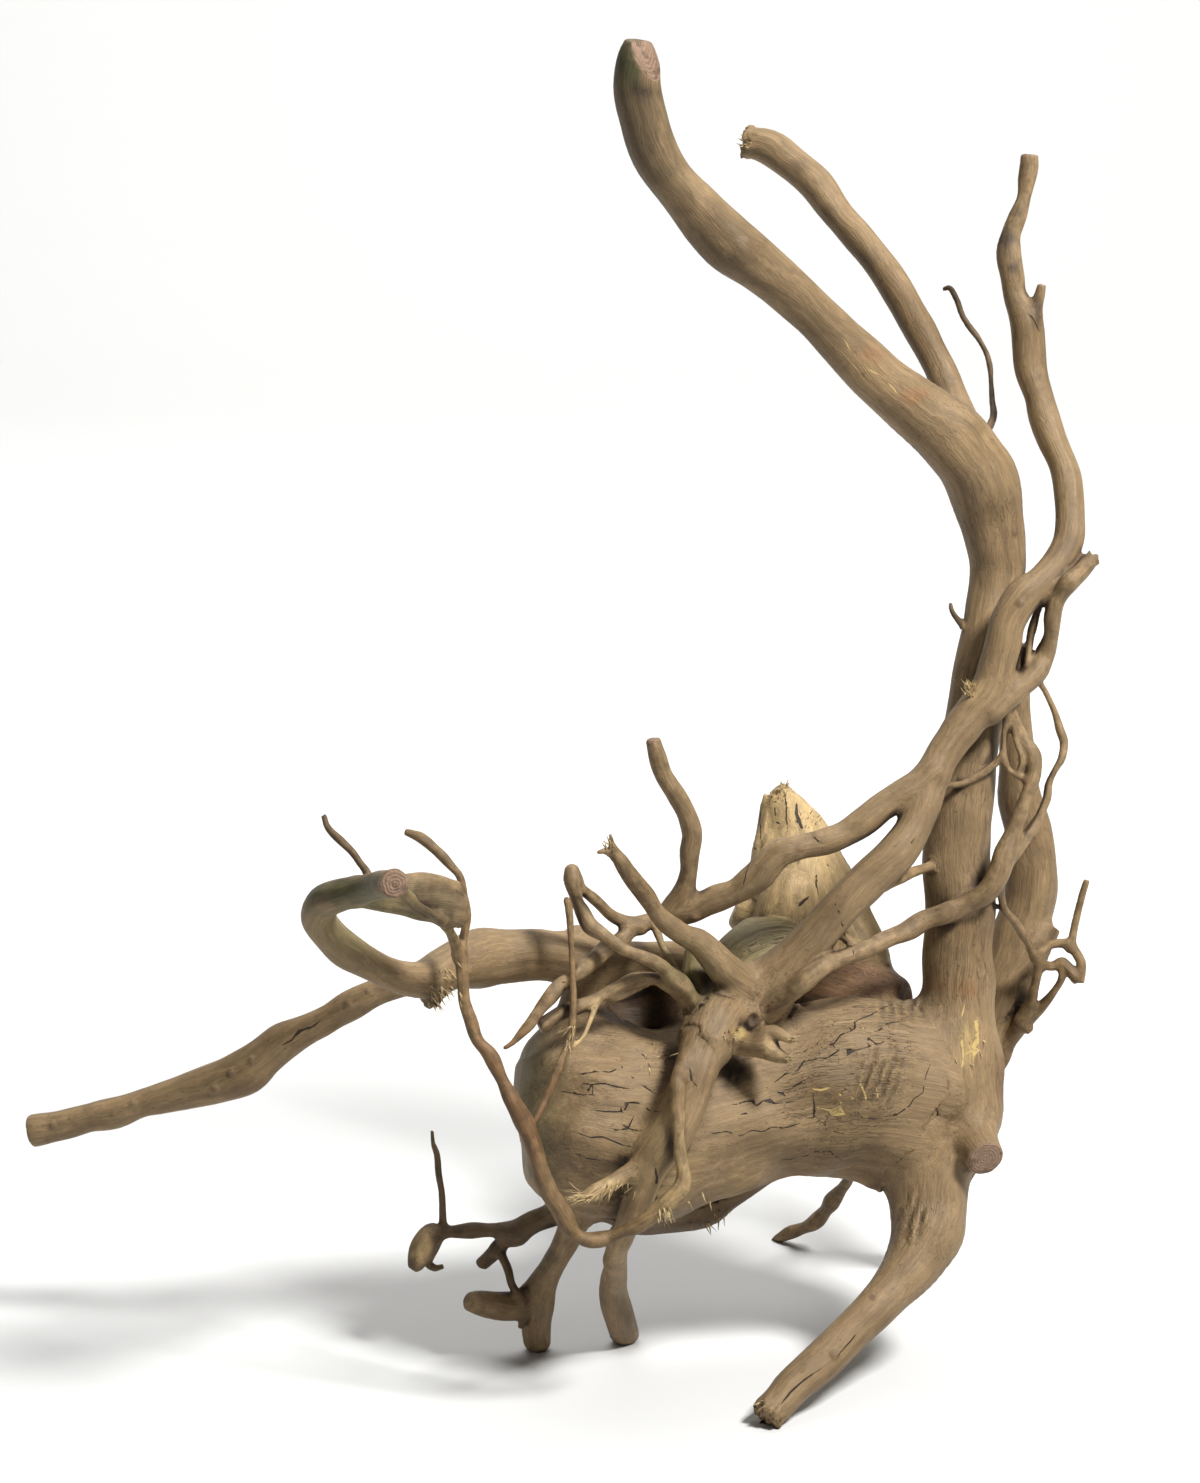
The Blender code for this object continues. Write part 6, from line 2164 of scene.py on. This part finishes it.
class Studio:
    """The camera, the pale sweep and the soft lights."""

    FLOOR_COLOUR = (0.58, 0.58, 0.57, 1.0)
    WORLD_STRENGTH = 0.08
    BEND_STEPS = 12

    def build(self) -> None:
        """Builds all of it."""
        self._camera()
        self._sweep()
        self._light("key", (1.25, -0.95, 2.15), 0.5, 118.0)
        self._light("fill", (-1.2, -2.8, 1.4), 1.6, 5.0)
        self._light("backdrop", (0.0, 1.2, 2.8), 2.6, 125.0, (0.0, 3.3, 0.7))
        world = bpy.data.worlds.new("studio")
        world.use_nodes = True
        background = world.node_tree.nodes["Background"]
        background.inputs[0].default_value = (1.0, 1.0, 1.0, 1.0)
        background.inputs[1].default_value = self.WORLD_STRENGTH
        bpy.context.scene.world = world
        bpy.context.scene.view_settings.view_transform = "Standard"

    @staticmethod
    def _camera() -> None:
        """Sets the camera at the photograph's angle."""
        data = bpy.data.cameras.new("photo_camera")
        data.sensor_fit = "VERTICAL"
        data.sensor_height = SENSOR_HEIGHT
        data.lens = SENSOR_HEIGHT * EYE_DISTANCE / SHEET_HEIGHT
        data.clip_end = 50.0
        camera = bpy.data.objects.new("photo_camera", data)
        camera.location = (SHEET_CENTRE - Vector(EYE_FORWARD) * EYE_DISTANCE) * MM
        camera.rotation_euler = (math.pi / 2 - EYE_TILT, 0.0, 0.0)
        bpy.context.scene.collection.objects.link(camera)
        bpy.context.scene.camera = camera

    def _sweep(self) -> None:
        """Makes the pale floor, which curves up behind the root."""
        shape = bmesh.new()
        half, front, back, bend, top = 6.0, -4.0, 2.2, 1.2, 4.2
        profile = [(front, 0.0), (back, 0.0)]
        for step in range(1, self.BEND_STEPS + 1):
            turn = step / self.BEND_STEPS * math.pi / 2
            profile.append((back + bend * math.sin(turn), bend * (1 - math.cos(turn))))
        profile.append((back + bend, top))
        rows = [[shape.verts.new((side, y, z)) for side in (-half, half)] for y, z in profile]
        for low, high in zip(rows, rows[1:]):
            shape.faces.new((low[0], low[1], high[1], high[0]))
        mesh = bpy.data.meshes.new("studio_sweep")
        shape.to_mesh(mesh)
        shape.free()
        mesh.shade_smooth()
        sweep = bpy.data.objects.new("studio_sweep", mesh)
        bpy.context.scene.collection.objects.link(sweep)
        paper = bpy.data.materials.new("studio_paper")
        paper.use_nodes = True
        shader = paper.node_tree.nodes["Principled BSDF"]
        shader.inputs["Base Color"].default_value = self.FLOOR_COLOUR
        shader.inputs["Roughness"].default_value = 0.9
        mesh.materials.append(paper)
        sweep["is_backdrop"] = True

    @staticmethod
    def _light(
        name: str, place: Point, size: float, power: float, target: Point = (0.02, 0.0, 0.25)
    ) -> None:
        """Adds one soft square light.

        Args:
            name: The light's name.
            place: Where it hangs, in metres.
            size: Its side, in metres.
            power: Its power in watts.
            target: What it is aimed at.
        """
        data = bpy.data.lights.new(name, "AREA")
        data.size = size
        data.energy = power
        light = bpy.data.objects.new(name, data)
        light.location = place
        aim = Vector(target) - Vector(place)
        light.rotation_euler = aim.to_track_quat("-Z", "Y").to_euler()
        bpy.context.scene.collection.objects.link(light)


def grow_root(wood: Wood, box: Sequence[Sequence[float]]) -> tuple[bpy.types.Object, TornFibres]:
    """Grows the detailed root.

    Args:
        wood: The field to follow.
        box: The low and high corners it stays within, in metres.

    Returns:
        The finished object, in metres, and its torn fibres, not yet grown.
    """
    root = RootMesh(wood)
    root.melt(COARSE_VOXEL)
    root.fit(2, 0.0)
    root.melt(FINE_VOXEL)
    root.fit(2, 1.0)
    places, normals = root.arrays()
    root.move(places + Marks(places, normals).relief()[:, None] * normals)
    for across, up, reach in WORN_JOINTS:
        root.soften(across, up, reach)
    root.saw(Sheet.to_space(*TOP_FACE_MIDDLE), TOP_FACE_FACING, TOP_FACE_REACH)
    root.saw(Vector((0, 0, 0)), Vector((0, 0, -1)), math.inf)
    root.wear_feet()
    root.keep_within(box)
    root.thin(TRIANGLE_LIMIT)
    LOG.info("root mesh: %d faces", len(root.object.data.polygons))
    SkinPainter(root).paint()
    fibres = TornFibres(*root.arrays())
    root.finish()
    return root.object, fibres


def main() -> None:
    """Builds the whole scene."""
    logging.basicConfig(level=logging.INFO, format="%(name)s: %(message)s")
    cad_box = [list(corner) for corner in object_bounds()]
    Studio().build()
    root, fibres = grow_root(Wood(), cad_box)
    grain_group = long_grain_group()
    root.data.materials.append(WoodMaterial(grain_group).material)
    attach(root, BODY_NAME)
    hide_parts(NODE_NAME)
    torn = fibres.grow(fibre_material(grain_group))
    LOG.info("torn fibres: %d faces", len(torn.data.polygons))
    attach(torn, BODY_NAME)


if __name__ == "__main__":
    main()
